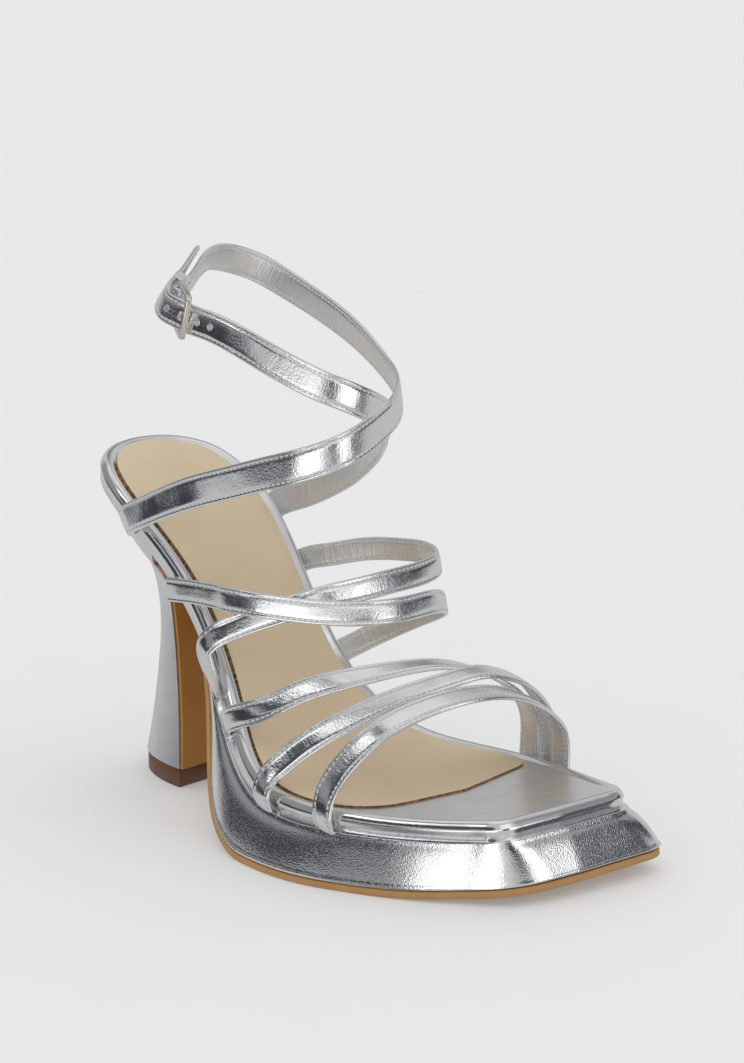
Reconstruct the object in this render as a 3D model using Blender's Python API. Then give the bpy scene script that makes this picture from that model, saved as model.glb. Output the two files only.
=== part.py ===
"""High-heeled platform sandal for the right foot: leather straps on a wrapped footbed, platform and heel.

Sizes are in millimetres until the meshes are made.  The floor is z = 0, the toe points along -Y,
and the outer side of the foot, with the buckle, is towards -X.
"""
import math
from collections import namedtuple

import bmesh
import bpy
import numpy as np

# Driving dimensions.
MM = 0.001
FRAME_CENTRE = np.array([-1.18, 1.69, 0.0])
GAP = 0.3
SOLE_GAP = 0.5
FOOTBED_THICKNESS = 7.0
SOCK_THICKNESS = 1.2
OUTSOLE_THICKNESS = 2.4
TOP_PIECE_HEIGHT = 6.8
TOP_PIECE_INSET = 0.4
BREAST_COVER_THICKNESS = 1.2
BREAST_COVER_INSET = 0.5
HEEL_SEAT_FRONT = 61.0
HEEL_SEAT_INSET = 1.4
STRAP_WIDTH = 8.2
ANKLE_STRAP_WIDTH = 10.8
ANKLE_TAIL_WIDTH = 9.2
STRAP_THICKNESS = 1.8
STRAP_EDGE = 0.7
STRAP_STEP = 4.0
FOLD_TURN = (-20.0, 160.0)
FOLD_POINTS = 9
FOLD_FLAP = 4.0
BUCKLE_BAR = 1.9
BUCKLE_WIDTH = 15.0
BUCKLE_CORNER = 2.0
BAR_SIDES = 8
PRONG_RADIUS = 0.75
PRONG_BEND = 5.5
PRONG_DIP = 0.5
PRONG_TIP = 1.6
PRONG_SLOT_LENGTH = 7.6
PRONG_SLOT_WIDTH = 2.6
KEEPER_WIDTH = 4.4
KEEPER_WALL = 1.1
KEEPER_CORNER = 1.6

# Points along each side of an outline, round a toe corner, and from there to the toe's middle.
SIDE_POINTS = 36
CORNER_POINTS = 5
TOE_POINTS = 5

Station = namedtuple("Station", "name outer_x outer_y inner_x inner_y")
Toe = namedtuple("Toe", "outer_corner inner_corner middle outer_radius inner_radius")
Rim = namedtuple("Rim", "outward depth")
Wall = namedtuple("Wall", "height flare")
HeelRow = namedtuple("HeelRow", "front_y back_y front_z back_z half_width centre_x fullness")

# Height of the footbed along the foot (y, z): level at the ball, steep at the arch, easing at the heel.
FOOTBED_LINE = [(-108, 31.0), (-92, 28.0), (-75, 26.0), (-58, 25.2), (-38, 25.0), (-22, 25.2), (-8, 26.6),
                (4, 30.4), (15, 37.5), (27, 49.7), (40, 66.2), (52, 81.0), (64, 93.6), (78, 104.8),
                (90, 111.8), (106, 116.6)]
# Height of the outsole's upper face (y, z): toe spring, flat tread, then the curve up to the arch.
TREAD_LINE = [(-110, 8.8), (-95, 6.7), (-80, 4.7), (-65, 3.2), (-50, 2.4), (-25, 2.3), (-6, 2.3), (2, 2.8),
              (9, 5.0), (16.5, 9.4), (22.5, 15.8), (30, 29.4), (35, 40.0), (40, 50.0), (45, 59.8)]
# Under the shank the outsole lies on the footbed, at these distances along the foot.
SHANK_STATIONS = (44.0, 50.0, 56.0, 62.0)

FOOTBED_STATIONS = [
    Station("heel turn", -15.8, 101.2, 14.0, 101.4),
    Station("heel side", -26.2, 90.0, 25.0, 90.0),
    Station("seat", -29.4, 77.0, 29.4, 77.0),
    Station("seat front", -27.6, 62.0, 30.0, 62.0),
    Station("waist", -25.0, 43.0, 27.0, 43.0),
    Station("arch", -27.6, 29.0, 26.0, 28.0),
    Station("arch front", -36.8, 10.0, 29.4, 10.0),
    Station("ball back", -44.2, -10.0, 35.0, -10.0),
    Station("ball", -44.4, -28.0, 39.4, -28.0),
    Station("ball front", -39.0, -47.0, 41.8, -46.0),
    Station("toe side", -29.4, -66.0, 39.4, -66.0),
    Station("toe corner", -21.9, -78.0, 33.8, -84.0),
]
FOOTBED_HEEL_END = (-1.5, 105.0)
FOOTBED_TOE = Toe((-17.4, -86.0), (30.8, -95.6), (4.0, -90.8), 5.5, 9.0)

SOCK_STATIONS = [
    Station("heel turn", -11.6, 97.8, 9.6, 97.8),
    Station("heel side", -20.8, 89.0, 18.6, 89.0),
    Station("seat", -24.0, 77.0, 23.8, 77.0),
    Station("seat front", -22.2, 62.0, 24.6, 62.0),
    Station("waist", -19.6, 43.0, 21.6, 43.0),
    Station("arch", -22.2, 29.0, 20.6, 28.0),
    Station("arch front", -31.4, 10.0, 24.0, 10.0),
    Station("ball back", -38.8, -10.0, 29.6, -10.0),
    Station("ball", -39.4, -22.0, 33.6, -28.0),
    Station("ball front", -38.8, -28.0, 35.8, -39.0),
]
SOCK_HEEL_END = (-1.7, 100.5)
SOCK_TOE = Toe((-34.6, -44.8), (37.4, -49.4), (2.0, -52.9), 16.5, 9.0)

# The platform's foot, and the one station of its top that isn't under a footbed station.
PLATFORM_STATIONS = [
    Station("shank", -23.5, 42.5, 23.0, 42.5),
    Station("shank front", -27.0, 37.0, 25.5, 37.0),
    Station("rear", -38.0, 24.0, 31.0, 24.0),
    Station("rear turn", -46.0, 11.0, 36.0, 10.0),
    Station("ball back", -50.0, -8.0, 41.0, -10.0),
    Station("ball", -48.9, -28.0, 44.6, -28.0),
    Station("ball front", -42.3, -46.5, 46.4, -46.0),
    Station("toe side", -34.0, -64.0, 46.0, -66.0),
    Station("toe corner", -25.9, -76.0, 43.4, -90.0),
]
PLATFORM_REAR_END = (0.0, 43.4)
PLATFORM_TOE = Toe((-15.8, -92.0), (42.4, -103.7), (6.0, -97.4), 12.5, 10.0)
PLATFORM_TOP_SHANK = Station("shank", -23.6, 37.4, 23.4, 37.4)
PLATFORM_TOP_REAR_END = (0.0, 38.2)
PLATFORM_TOP_OUTWARD = 0.9

OUTSOLE_STATIONS = [
    Station("breast", -16.6, 61.0, 16.6, 61.0),
    Station("shank back", -19.0, 54.0, 18.6, 54.0),
    Station("shank", -22.4, 45.0, 21.8, 45.0),
] + PLATFORM_STATIONS[1:]
OUTSOLE_REAR_END = (0.0, 62.0)

# The footbed's wrapped edge, from the wall's foot over the roll to the flat that the sock lies on.
FOOTBED_RIM = [Rim(-0.7, FOOTBED_THICKNESS), Rim(-0.9, 4.7), Rim(-0.2, 3.7), Rim(0.0, 2.6), Rim(-0.8, 1.0),
               Rim(-2.2, 0.15), Rim(-3.6, 0.3), Rim(-4.7, 0.95)]
FLAT_DEPTH = FOOTBED_RIM[-1].depth
# The platform's wall, as shares of its height and of its flare.
PLATFORM_WALL = [Wall(0.0, 1.0), Wall(0.08, 1.0), Wall(0.5, 0.5), Wall(0.86, 0.12), Wall(0.97, 0.0),
                 Wall(1.0, -0.12)]

# The heel from its foot to just under the seat: a flared block, thin at the neck.
HEEL_FOOT = TOP_PIECE_HEIGHT + GAP
HEEL_ROWS = [
    HeelRow(64.8, 96.6, HEEL_FOOT, HEEL_FOOT, 19.0, 1.8, 2.1),
    HeelRow(66.2, 92.9, 20.0, 20.0, 17.0, 1.3, 2.1),
    HeelRow(68.0, 88.8, 38.0, 38.0, 15.2, 0.8, 2.1),
    HeelRow(69.8, 86.0, 54.0, 54.5, 14.2, 0.4, 2.1),
    HeelRow(70.6, 86.0, 64.0, 67.0, 14.4, 0.2, 2.15),
    HeelRow(70.2, 88.4, 71.0, 78.5, 16.2, 0.3, 2.2),
    HeelRow(69.0, 93.2, 76.0, 89.5, 19.8, 0.5, 2.3),
    HeelRow(67.4, 99.4, 80.4, 99.0, 24.6, 0.8, 2.45),
]

# Each strap's middle line (x, y, z), from its tuck at the outer side to its tuck at the inner side.
REAR_TOE_STRAP = [(-33.9, 22.4, 36.8), (-35, 18.2, 39.6), (-34.6, 12.2, 42.5), (-31, 4.4, 46), (-24, -5, 52),
                  (-16, -13.5, 55.6), (-7, -20.7, 57.8), (2, -27.6, 59.4), (12, -34.1, 59.4), (20, -38.6, 57),
                  (29, -42.2, 52.3), (37.2, -43.4, 45.3), (42, -43.4, 37.5), (43.2, -43, 30),
                  (42.8, -42.6, 18.8)]
MIDDLE_TOE_STRAP = [(-46.4, -10.5, 20.4), (-46.8, -10, 24.5), (-45.2, -11, 28.8), (-41.6, -14, 33),
                    (-36, -18, 39), (-30, -23.4, 44.4), (-23, -28.8, 48.8), (-14, -35.6, 53.6),
                    (-5, -42.2, 57.4), (5, -46.8, 59.4), (14, -49.4, 59.4), (23, -50.7, 57), (32, -50.7, 52),
                    (40, -49.8, 44.4), (43.8, -49.4, 37.5), (44.6, -49.3, 30), (43.4, -49.3, 18.8)]
FRONT_TOE_STRAP = [(-45.0, -36, 19.4), (-45.2, -36, 24), (-43.6, -36, 29.8), (-39.6, -37.5, 36.3),
                   (-35.6, -40.3, 42), (-30, -43.9, 47.8), (-22, -47.5, 52.2), (-14, -51.2, 55),
                   (-4, -55, 56.8), (8, -57.4, 56.2), (19, -57.9, 53), (29, -57.5, 48), (37.2, -56.7, 42),
                   (42, -56.2, 36), (43.4, -56, 30), (42.4, -56.2, 18.8)]
REAR_INSTEP_STRAP = [(-28.6, 54.8, 75.8), (-28.2, 50, 76.3), (-27.4, 45.3, 76.6), (-25.6, 34.6, 75.9),
                     (-22, 20.9, 75.6), (-17.2, 9.4, 74.6), (-9.5, 0.6, 73.8), (0, -7, 73.3),
                     (10, -11.3, 73.2), (20, -12.4, 73), (32, -10.6, 72), (41, -5.6, 68.4), (43.4, 5, 63),
                     (40.4, 19.6, 55.2), (35, 27, 50.4), (28.4, 32.6, 46)]
FRONT_INSTEP_STRAP = [(-30.8, 31.2, 47.6), (-32, 30.2, 52), (-33.4, 30.6, 56.4), (-34, 30.6, 61),
                      (-32.4, 27.6, 65.2), (-28.5, 23.6, 68), (-24, 19.4, 70.4), (-16.2, 10.9, 74.4),
                      (-8, 3, 78), (0, -0.6, 79.2), (8, -3, 80), (18, -4.8, 80.7), (29, -5.4, 81),
                      (40.4, -3.2, 82), (46, 5.4, 82.6), (45.6, 18.6, 82), (39.4, 33.5, 80.4),
                      (34, 42, 78.2), (30.6, 50.6, 75.8), (29.8, 55.2, 73.2)]
OUTER_ANKLE_STRAP = [(-30.8, 76.2, 94.4), (-31.2, 73, 96.3), (-32.2, 65.7, 99.7), (-33.6, 50.9, 106.2),
                     (-33.3, 34, 113), (-31, 18.5, 118.2), (-28, 4.8, 122.8), (-22.6, -6.4, 126.6),
                     (-14.2, -13.2, 130.2), (-5.5, -14.4, 133), (4, -13.2, 136.2), (13.8, -9.6, 138.9),
                     (23, -2.3, 142.5), (31, 10.2, 146.4), (35, 23.2, 152.2), (37, 39, 159.2),
                     (37, 53.3, 164.8), (35, 65.6, 170.2), (29.5, 73.8, 175.4), (20, 77.4, 179),
                     (9, 72.6, 180.6), (-4, 63.8, 179.6), (-14, 56, 177.6), (-25, 48.6, 175.4)]
INNER_ANKLE_STRAP = [(32.2, 70.2, 90), (32.8, 66.4, 93), (35, 56.2, 97.4), (36.6, 44.7, 102.6),
                     (35.6, 30.3, 110.2), (31.8, 20, 116.4), (24.5, 6.8, 124.4), (15.4, -5.0, 132.2),
                     (5.5, -12.0, 139.4), (-2.5, -14.2, 143.4), (-10, -13.4, 147), (-18, -9.3, 151),
                     (-24, -2.6, 155.4), (-29, 5.2, 160.2), (-33, 13.7, 164.9), (-35.4, 25, 168.4),
                     (-36.6, 31, 169.6), (-37.6, 37.2, 171.4), (-37, 43.5, 173.2), (-33.2, 48.2, 176),
                     (-26.6, 52.2, 178.6), (-19.2, 57, 180.6), (-10, 63.4, 182.6), (-2, 68.8, 184.4)]
# The line inside the foot or the ankle that each group of straps faces away from.
TOE_CORE = [(2, -80, 12), (-2, 0, 41)]
INSTEP_CORE = [(8, 20, 40), (8, 32, 85)]
ANKLE_CORE = [(-1, 90, 86), (-1, 66, 100), (1, 42, 126), (2, 34, 190)]
# How far each strap's face tips upwards: shares of its length, and degrees there.
UPRIGHT = [(0.0, 0.0), (1.0, 0.0)]
OUTER_ANKLE_LEAN = [(0.0, 6.0), (0.1, 13.0), (0.25, 13.0), (0.4, 4.0), (1.0, 18.0)]
INNER_ANKLE_LEAN = [(0.0, 0.0), (0.74, 7.0), (0.84, 16.0), (1.0, 32.0)]
# The buckle's two cross bars, the way down along them, and the places of the prong's slot and of the keeper.
BUCKLE_FRONT = (-39.3, 30.4, 170.4)
BUCKLE_REAR = (-32.1, 42.2, 173.3)
BUCKLE_DOWN = (0.04, 0.36, -0.93)
PRONG_SLOT = (-37.5, 35.0, 171.8)
KEEPER_PLACE = (-24.6, 51.2, 177.2)


def evenly(curve, count):
    """The curve again, as a number of points at even distances."""
    steps = np.linalg.norm(np.diff(curve, axis=0), axis=1)
    reached = np.concatenate([[0.0], np.cumsum(steps)])
    wanted = np.linspace(0.0, reached[-1], count)
    return np.stack([np.interp(wanted, reached, column) for column in curve.T], axis=1)


def spline(rows, density=24):
    """A dense natural cubic curve through the rows."""
    rows = np.array(rows, float)
    count = len(rows)
    spans = np.linalg.norm(np.diff(rows, axis=0), axis=1)
    knots = np.concatenate([[0.0], np.cumsum(spans)])
    system = np.eye(count)
    pull = np.zeros_like(rows)
    for i in range(1, count - 1):
        system[i, i - 1:i + 2] = spans[i - 1], 2 * (spans[i - 1] + spans[i]), spans[i]
        pull[i] = 6 * ((rows[i + 1] - rows[i]) / spans[i] - (rows[i] - rows[i - 1]) / spans[i - 1])
    bend = np.linalg.solve(system, pull)
    along = np.linspace(0.0, knots[-1], density * count)
    k = np.clip(np.searchsorted(knots, along, side="right") - 1, 0, count - 2)
    past = (along - knots[k])[:, None]
    left = (knots[k + 1] - along)[:, None]
    span = spans[k][:, None]
    cubic = (bend[k] * left**3 + bend[k + 1] * past**3) / (6 * span)
    before = (rows[k] / span - bend[k] * span / 6) * left
    after = (rows[k + 1] / span - bend[k + 1] * span / 6) * past
    return cubic + before + after


def laid_on(line, plan, depth):
    """Plan points laid on a side-view line, then moved square to it, downwards, by a depth."""
    curve = spline(line)
    slopes = np.arctan(np.gradient(curve[:, 1], curve[:, 0]))
    height = np.interp(plan[:, 1], curve[:, 0], curve[:, 1])
    slope = np.interp(plan[:, 1], curve[:, 0], slopes)
    return np.stack([plan[:, 0], plan[:, 1] + depth * np.sin(slope), height - depth * np.cos(slope)], axis=1)


def towards(origin, target, distance):
    """The point at a distance from origin on the way to target."""
    origin, target = np.array(origin, float), np.array(target, float)
    return origin + (target - origin) * distance / np.linalg.norm(target - origin)


def plan_outline(stations, heel_end, toe):
    """A closed plan outline from the heel end along the outer side, round the toe and back."""
    outer = [(s.outer_x, s.outer_y) for s in stations]
    inner = [(s.inner_x, s.inner_y) for s in stations]
    around = spline(outer[::-1] + [heel_end] + inner)
    turn = int(np.argmin(np.linalg.norm(around - np.array(heel_end), axis=1)))
    turns = np.linspace(0.0, 1.0, CORNER_POINTS + 1)[:, None]
    halves = []
    for side, corner, radius in ((around[turn::-1], toe.outer_corner, toe.outer_radius),
                                 (around[turn:], toe.inner_corner, toe.inner_radius)):
        start = towards(corner, side[-1], radius)
        end = towards(corner, toe.middle, radius)
        bend = (1 - turns)**2 * start + 2 * turns * (1 - turns) * np.array(corner) + turns**2 * end
        straight = evenly(np.array([end, toe.middle]), TOE_POINTS + 1)
        half = [evenly(np.vstack([side, [start]]), SIDE_POINTS + 1), bend[1:], straight[1:]]
        halves.append(np.vstack(half))
    return np.vstack([halves[0], halves[1][-2:0:-1]])


def grow(plan, distance):
    """A closed plan outline moved outwards by a distance."""
    along = np.roll(plan, -1, axis=0) - np.roll(plan, 1, axis=0)
    along /= np.linalg.norm(along, axis=1)[:, None]
    return plan + distance * np.stack([along[:, 1], -along[:, 0]], axis=1)


def material(name, colour, roughness, metallic):
    shade = bpy.data.materials.new(name)
    shade.use_nodes = True
    principled = shade.node_tree.nodes["Principled BSDF"]
    principled.inputs["Base Color"].default_value = (*colour, 1.0)
    principled.inputs["Roughness"].default_value = roughness
    principled.inputs["Metallic"].default_value = metallic
    shade.diffuse_color = (*colour, 1.0)
    return shade


def add_object(name, points, faces, shade):
    """A closed mesh object from points in millimetres, with its faces turned outwards."""
    mesh = bpy.data.meshes.new(name)
    mesh.from_pydata(((np.asarray(points) - FRAME_CENTRE) * MM).tolist(), [], faces)
    solid = bmesh.new()
    solid.from_mesh(mesh)
    bmesh.ops.recalc_face_normals(solid, faces=solid.faces)
    solid.to_mesh(mesh)
    solid.free()
    mesh.materials.append(shade)
    mesh.shade_smooth()
    mesh.set_sharp_from_angle(angle=math.radians(40))
    thing = bpy.data.objects.new(name, mesh)
    bpy.context.scene.collection.objects.link(thing)
    thing.parent = sandal
    return thing


def wall_faces(rings, size):
    """Quads between each ring of points and the next."""
    faces = []
    for ring in range(rings - 1):
        for i in range(size):
            j = (i + 1) % size
            faces.append((ring * size + i, ring * size + j, (ring + 1) * size + j, (ring + 1) * size + i))
    return faces


def rung_faces(first, size):
    """A cap of rungs across a closed outline, from its outer side to its inner side."""
    faces = []
    for i in range(size // 2):
        rung = (first + i, first + i + 1, first + size - i - 1, first + (size - i) % size)
        faces.append(tuple(dict.fromkeys(rung)))
    return faces


def layered_solid(name, rings, shade):
    """A solid through rings of matching points, closed by rungs below and above."""
    size = len(rings[0])
    faces = wall_faces(len(rings), size) + rung_faces(0, size) + rung_faces((len(rings) - 1) * size, size)
    return add_object(name, np.vstack(rings), faces, shade)


def swept_solid(name, sections, shade):
    """A solid through open-ended sections of matching points, closed by a face at each end."""
    size = len(sections[0])
    last = (len(sections) - 1) * size
    ends = [tuple(range(size)), tuple(range(last, last + size))]
    return add_object(name, np.vstack(sections), wall_faces(len(sections), size) + ends, shade)


def footbed_plan():
    return plan_outline(FOOTBED_STATIONS, FOOTBED_HEEL_END, FOOTBED_TOE)


def tread_line():
    """The outsole's upper face along the whole foot, up to the heel's breast."""
    shank = np.array([(0.0, y) for y in SHANK_STATIONS])
    rise = laid_on(FOOTBED_LINE, shank, FOOTBED_THICKNESS + GAP)
    return TREAD_LINE + [(y, z) for _, y, z in rise]


def make_footbed():
    """Insole board wrapped in leather, with a rolled edge all round."""
    plan = footbed_plan()
    rings = [laid_on(FOOTBED_LINE, grow(plan, rim.outward), rim.depth) for rim in FOOTBED_RIM]
    layered_solid("footbed", rings, silver_leather)


def make_sock():
    """Thin lining glued on the footbed, with a rounded front short of the toes."""
    plan = plan_outline(SOCK_STATIONS, SOCK_HEEL_END, SOCK_TOE)
    seat = FLAT_DEPTH - GAP
    rings = [laid_on(FOOTBED_LINE, plan, depth) for depth in (seat, seat - SOCK_THICKNESS)]
    layered_solid("insole_sock", rings, sock_leather)


def make_platform():
    """Wrapped platform, flared towards the tread and drawn out to a wedge under the arch."""
    foot_plan = plan_outline(PLATFORM_STATIONS, PLATFORM_REAR_END, PLATFORM_TOE)
    arch = [station.name for station in FOOTBED_STATIONS].index("arch")
    top_stations = [PLATFORM_TOP_SHANK] + FOOTBED_STATIONS[arch:]
    top_plan = plan_outline(top_stations, PLATFORM_TOP_REAR_END, FOOTBED_TOE)
    foot = laid_on(tread_line(), foot_plan, -SOLE_GAP)
    top = laid_on(FOOTBED_LINE, grow(top_plan, PLATFORM_TOP_OUTWARD), FOOTBED_THICKNESS + GAP)
    rings = []
    for wall in PLATFORM_WALL:
        ring = top + (foot - top) * wall.flare
        ring[:, 2] = foot[:, 2] + (top[:, 2] - foot[:, 2]) * wall.height
        rings.append(ring)
    layered_solid("platform", rings, silver_leather)


def make_outsole():
    """Thin sole from the toe to the heel's breast, ground flat where it stands."""
    plan = plan_outline(OUTSOLE_STATIONS, OUTSOLE_REAR_END, PLATFORM_TOE)
    line = tread_line()
    tread = laid_on(line, plan, OUTSOLE_THICKNESS)
    tread[:, 2] = np.maximum(tread[:, 2], 0.0)
    layered_solid("outsole", [tread, laid_on(line, plan, 0.0)], tan_sole)


def heel_ring(row, inset=0.0):
    """One section of the heel: a straight breast in front and a rounded back."""
    turns = np.linspace(0.5 * math.pi, 0.0, SIDE_POINTS // 2 + 1)
    power = 2.0 / row.fullness
    reach = (row.half_width - inset) * np.cos(turns)**power
    share = np.sin(turns)**power
    return breast_closed(row.centre_x - reach, row.centre_x + reach, share, row, inset)


def breast_closed(outer_x, inner_x, share, row, inset):
    """The section's two sides, from the back to the breast, joined along the breast."""
    back_y, front_y = row.back_y - inset, row.front_y + inset
    y = front_y + (back_y - front_y) * share
    z = row.front_z + (row.back_z - row.front_z) * share
    outer = np.stack([outer_x, y, z], axis=1)
    inner = np.stack([inner_x, y, z], axis=1)
    middle = (outer[-1:] + inner[-1:]) / 2
    return np.vstack([outer, middle, inner[:0:-1]])


def heel_seat_ring():
    """The heel's upper edge, a little inside the footbed's wall and square across at the breast."""
    plan = grow(footbed_plan(), -HEEL_SEAT_INSET)
    count = len(plan)
    sides = (plan[:count // 2], np.vstack([plan[:1], plan[:count // 2:-1]]))
    halves = []
    for side in sides:
        behind = side[side[:, 1] > HEEL_SEAT_FRONT]
        cut = np.interp(-HEEL_SEAT_FRONT, -side[:SIDE_POINTS, 1], side[:SIDE_POINTS, 0])
        halves.append(evenly(np.vstack([behind, [(cut, HEEL_SEAT_FRONT)]]), SIDE_POINTS // 2 + 1))
    outer, inner = halves
    middle = (outer[-1:] + inner[-1:]) / 2
    return laid_on(FOOTBED_LINE, np.vstack([outer, middle, inner[:0:-1]]), FOOTBED_THICKNESS + GAP)


def make_heel():
    """Wrapped block heel: waisted under the seat, flared to its foot."""
    rings = [heel_ring(row) for row in HEEL_ROWS]
    layered_solid("heel_block", rings + [heel_seat_ring()], silver_leather)


def make_top_piece():
    """The heel's replaceable foot."""
    foot = HEEL_ROWS[0]
    rings = [heel_ring(foot._replace(front_z=z, back_z=z), TOP_PIECE_INSET) for z in (0.0, TOP_PIECE_HEIGHT)]
    layered_solid("heel_top_piece", rings, brown_top_piece)


def make_breast_cover():
    """Flat leather on the front of the heel, from its foot to the end of the outsole."""
    sections = []
    for row in HEEL_ROWS:
        half = row.half_width - BREAST_COVER_INSET
        back = row.front_y - GAP
        front = back - BREAST_COVER_THICKNESS
        left, right = row.centre_x - half, row.centre_x + half
        corners = [(left, back), (left, front), (right, front), (right, back)]
        sections.append(np.array([(x, y, row.front_z) for x, y in corners]))
    swept_solid("heel_breast_cover", sections, tan_breast)


def unit(vectors):
    """Vectors, or one vector, at length one."""
    vectors = np.asarray(vectors, float)
    return vectors / np.linalg.norm(vectors, axis=-1, keepdims=True)


def strap_frames(route, core, lean):
    """Points along a strap's middle line with the directions across it and out of it."""
    curve = spline(route)
    length = np.linalg.norm(np.diff(curve, axis=0), axis=1).sum()
    points = evenly(curve, int(length / STRAP_STEP) + 1)
    along = unit(np.gradient(points, axis=0))
    inside = evenly(np.array(core, float), 200)
    nearest = np.linalg.norm(points[:, None] - inside[None], axis=2).argmin(axis=1)
    out = unit(points - inside[nearest])
    shares, degrees = np.array(lean).T
    tip = np.radians(np.interp(np.linspace(0.0, 1.0, len(points)), shares, degrees))
    out += np.outer(np.tan(tip), (0.0, 0.0, 1.0))
    out = unit(out - (out * along).sum(axis=1)[:, None] * along)
    return points, np.cross(out, along), out


def strap_sections(frames, widths):
    """The strap's outline at each frame: a flat band with folded edges."""
    thick = STRAP_THICKNESS / 2
    sections = []
    for point, side, outward, width in zip(*frames, np.linspace(*widths, len(frames[0]))):
        half = width / 2
        outline = [(-half, 0.0), (STRAP_EDGE - half, thick), (half - STRAP_EDGE, thick), (half, 0.0),
                   (half - STRAP_EDGE, -thick), (STRAP_EDGE - half, -thick)]
        sections.append(np.array([point + side * v + outward * n for v, n in outline]))
    return sections


def make_strap(name, route, core):
    """One of the narrow straps over the foot."""
    sections = strap_sections(strap_frames(route, core, UPRIGHT), (STRAP_WIDTH, STRAP_WIDTH))
    return swept_solid(name, sections, silver_leather)


def combine(base, other, operation):
    """Join another solid to the base, or cut it away, keeping it as a hidden helper."""
    change = base.modifiers.new(f"{operation.lower()} {other.name}", "BOOLEAN")
    change.operation = operation
    change.solver = "EXACT"
    change.object = other
    other.hide_render = True
    other.display_type = "WIRE"


def make_toe_straps():
    """Three straps that fan out from the inner side, the middle one on top."""
    upper = make_strap("toe_straps", MIDDLE_TOE_STRAP, TOE_CORE)
    for name, route in (("rear toe strap", REAR_TOE_STRAP), ("front toe strap", FRONT_TOE_STRAP)):
        combine(upper, make_strap(name, route, TOE_CORE), "UNION")


def make_instep_straps():
    """Two straps that cross over the instep."""
    upper = make_strap("instep_straps", REAR_INSTEP_STRAP, INSTEP_CORE)
    combine(upper, make_strap("front instep strap", FRONT_INSTEP_STRAP, INSTEP_CORE), "UNION")


def buckle_axes():
    """Directions of the buckle: from its front bar to its rear bar, down along the bars, and outwards."""
    back = unit(np.subtract(BUCKLE_REAR, BUCKLE_FRONT))
    down = np.array(BUCKLE_DOWN)
    down = unit(down - (down @ back) * back)
    return back, down, np.cross(back, down)


def fold_frames():
    """The outer strap's end: over the buckle's rear bar, round it and back under itself."""
    back, down, outward = buckle_axes()
    reach = BUCKLE_BAR / 2 + GAP + STRAP_THICKNESS / 2
    turns = np.radians(np.linspace(*FOLD_TURN, FOLD_POINTS))
    ring = reach * (np.outer(np.cos(turns), outward) - np.outer(np.sin(turns), back))
    flap = ring[-1] + unit(back - 0.1 * outward) * FOLD_FLAP
    points = np.array(BUCKLE_REAR) + np.vstack([ring, [flap]])
    along = unit(np.gradient(points, axis=0))
    across = np.tile(-down, (len(points), 1))
    return points, across, unit(np.cross(along, across))


def outer_ankle_frames():
    route = strap_frames(OUTER_ANKLE_STRAP, ANKLE_CORE, OUTER_ANKLE_LEAN)
    return [np.vstack(pair) for pair in zip(route, fold_frames())]


def inner_ankle_frames():
    return strap_frames(INNER_ANKLE_STRAP, ANKLE_CORE, INNER_ANKLE_LEAN)


def make_ankle_straps():
    """Two straps that rise from the heel's sides, cross in front of the ankle and meet at the buckle."""
    outer = strap_sections(outer_ankle_frames(), (ANKLE_STRAP_WIDTH, ANKLE_STRAP_WIDTH))
    inner = strap_sections(inner_ankle_frames(), (ANKLE_STRAP_WIDTH, ANKLE_TAIL_WIDTH))
    upper = swept_solid("ankle_straps", outer, silver_leather)
    combine(upper, swept_solid("inner ankle strap", inner, silver_leather), "UNION")
    combine(upper, make_prong_slot(), "DIFFERENCE")


def make_prong_slot():
    """Helper that cuts the slot for the prong out of the inner strap."""
    points, across, out = inner_ankle_frames()
    nearest = int(np.argmin(np.linalg.norm(points - np.array(PRONG_SLOT), axis=1)))
    side, outward = across[nearest], out[nearest]
    along = np.cross(side, outward)
    half_length, half_width = PRONG_SLOT_LENGTH / 2, PRONG_SLOT_WIDTH / 2
    bevel = half_width / 2
    outline = [(half_length, bevel), (half_length - bevel, half_width), (bevel - half_length, half_width),
               (-half_length, bevel), (-half_length, -bevel), (bevel - half_length, -half_width),
               (half_length - bevel, -half_width), (half_length, -bevel)]
    ends = []
    for height in (-2 * STRAP_THICKNESS, 2 * STRAP_THICKNESS):
        middle = np.array(PRONG_SLOT) + outward * height
        ends.append(np.array([middle + along * u + side * v for u, v in outline]))
    return swept_solid("prong slot", ends, silver_leather)


def rounded_loop(half_u, half_v, radius):
    """A rectangle with rounded corners, as points and the directions out of them."""
    points, directions = [], []
    for corner in range(4):
        for step in range(4):
            turn = math.radians(90 * corner + 30 * step)
            direction = np.array([math.cos(turn), math.sin(turn)])
            sign_u = 1 if corner in (0, 3) else -1
            sign_v = 1 if corner in (0, 1) else -1
            pivot = np.array([sign_u * (half_u - radius), sign_v * (half_v - radius)])
            points.append(pivot + radius * direction)
            directions.append(direction)
    return points, directions


def closed_loop(name, centre, axes, loop, profile, shade):
    """A ring-shaped solid: a profile of (out of the loop, out of its plane) pairs carried round the loop."""
    first, second, normal = axes
    points = []
    for place, direction in zip(*loop):
        for outwards, lift in profile:
            u, v = place + outwards * direction
            points.append(np.array(centre) + u * first + v * second + lift * normal)
    size, rings = len(profile), len(loop[0])
    faces = []
    for face in wall_faces(rings + 1, size):
        faces.append(tuple(corner % (rings * size) for corner in face))
    return add_object(name, np.array(points), faces, shade)


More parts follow.
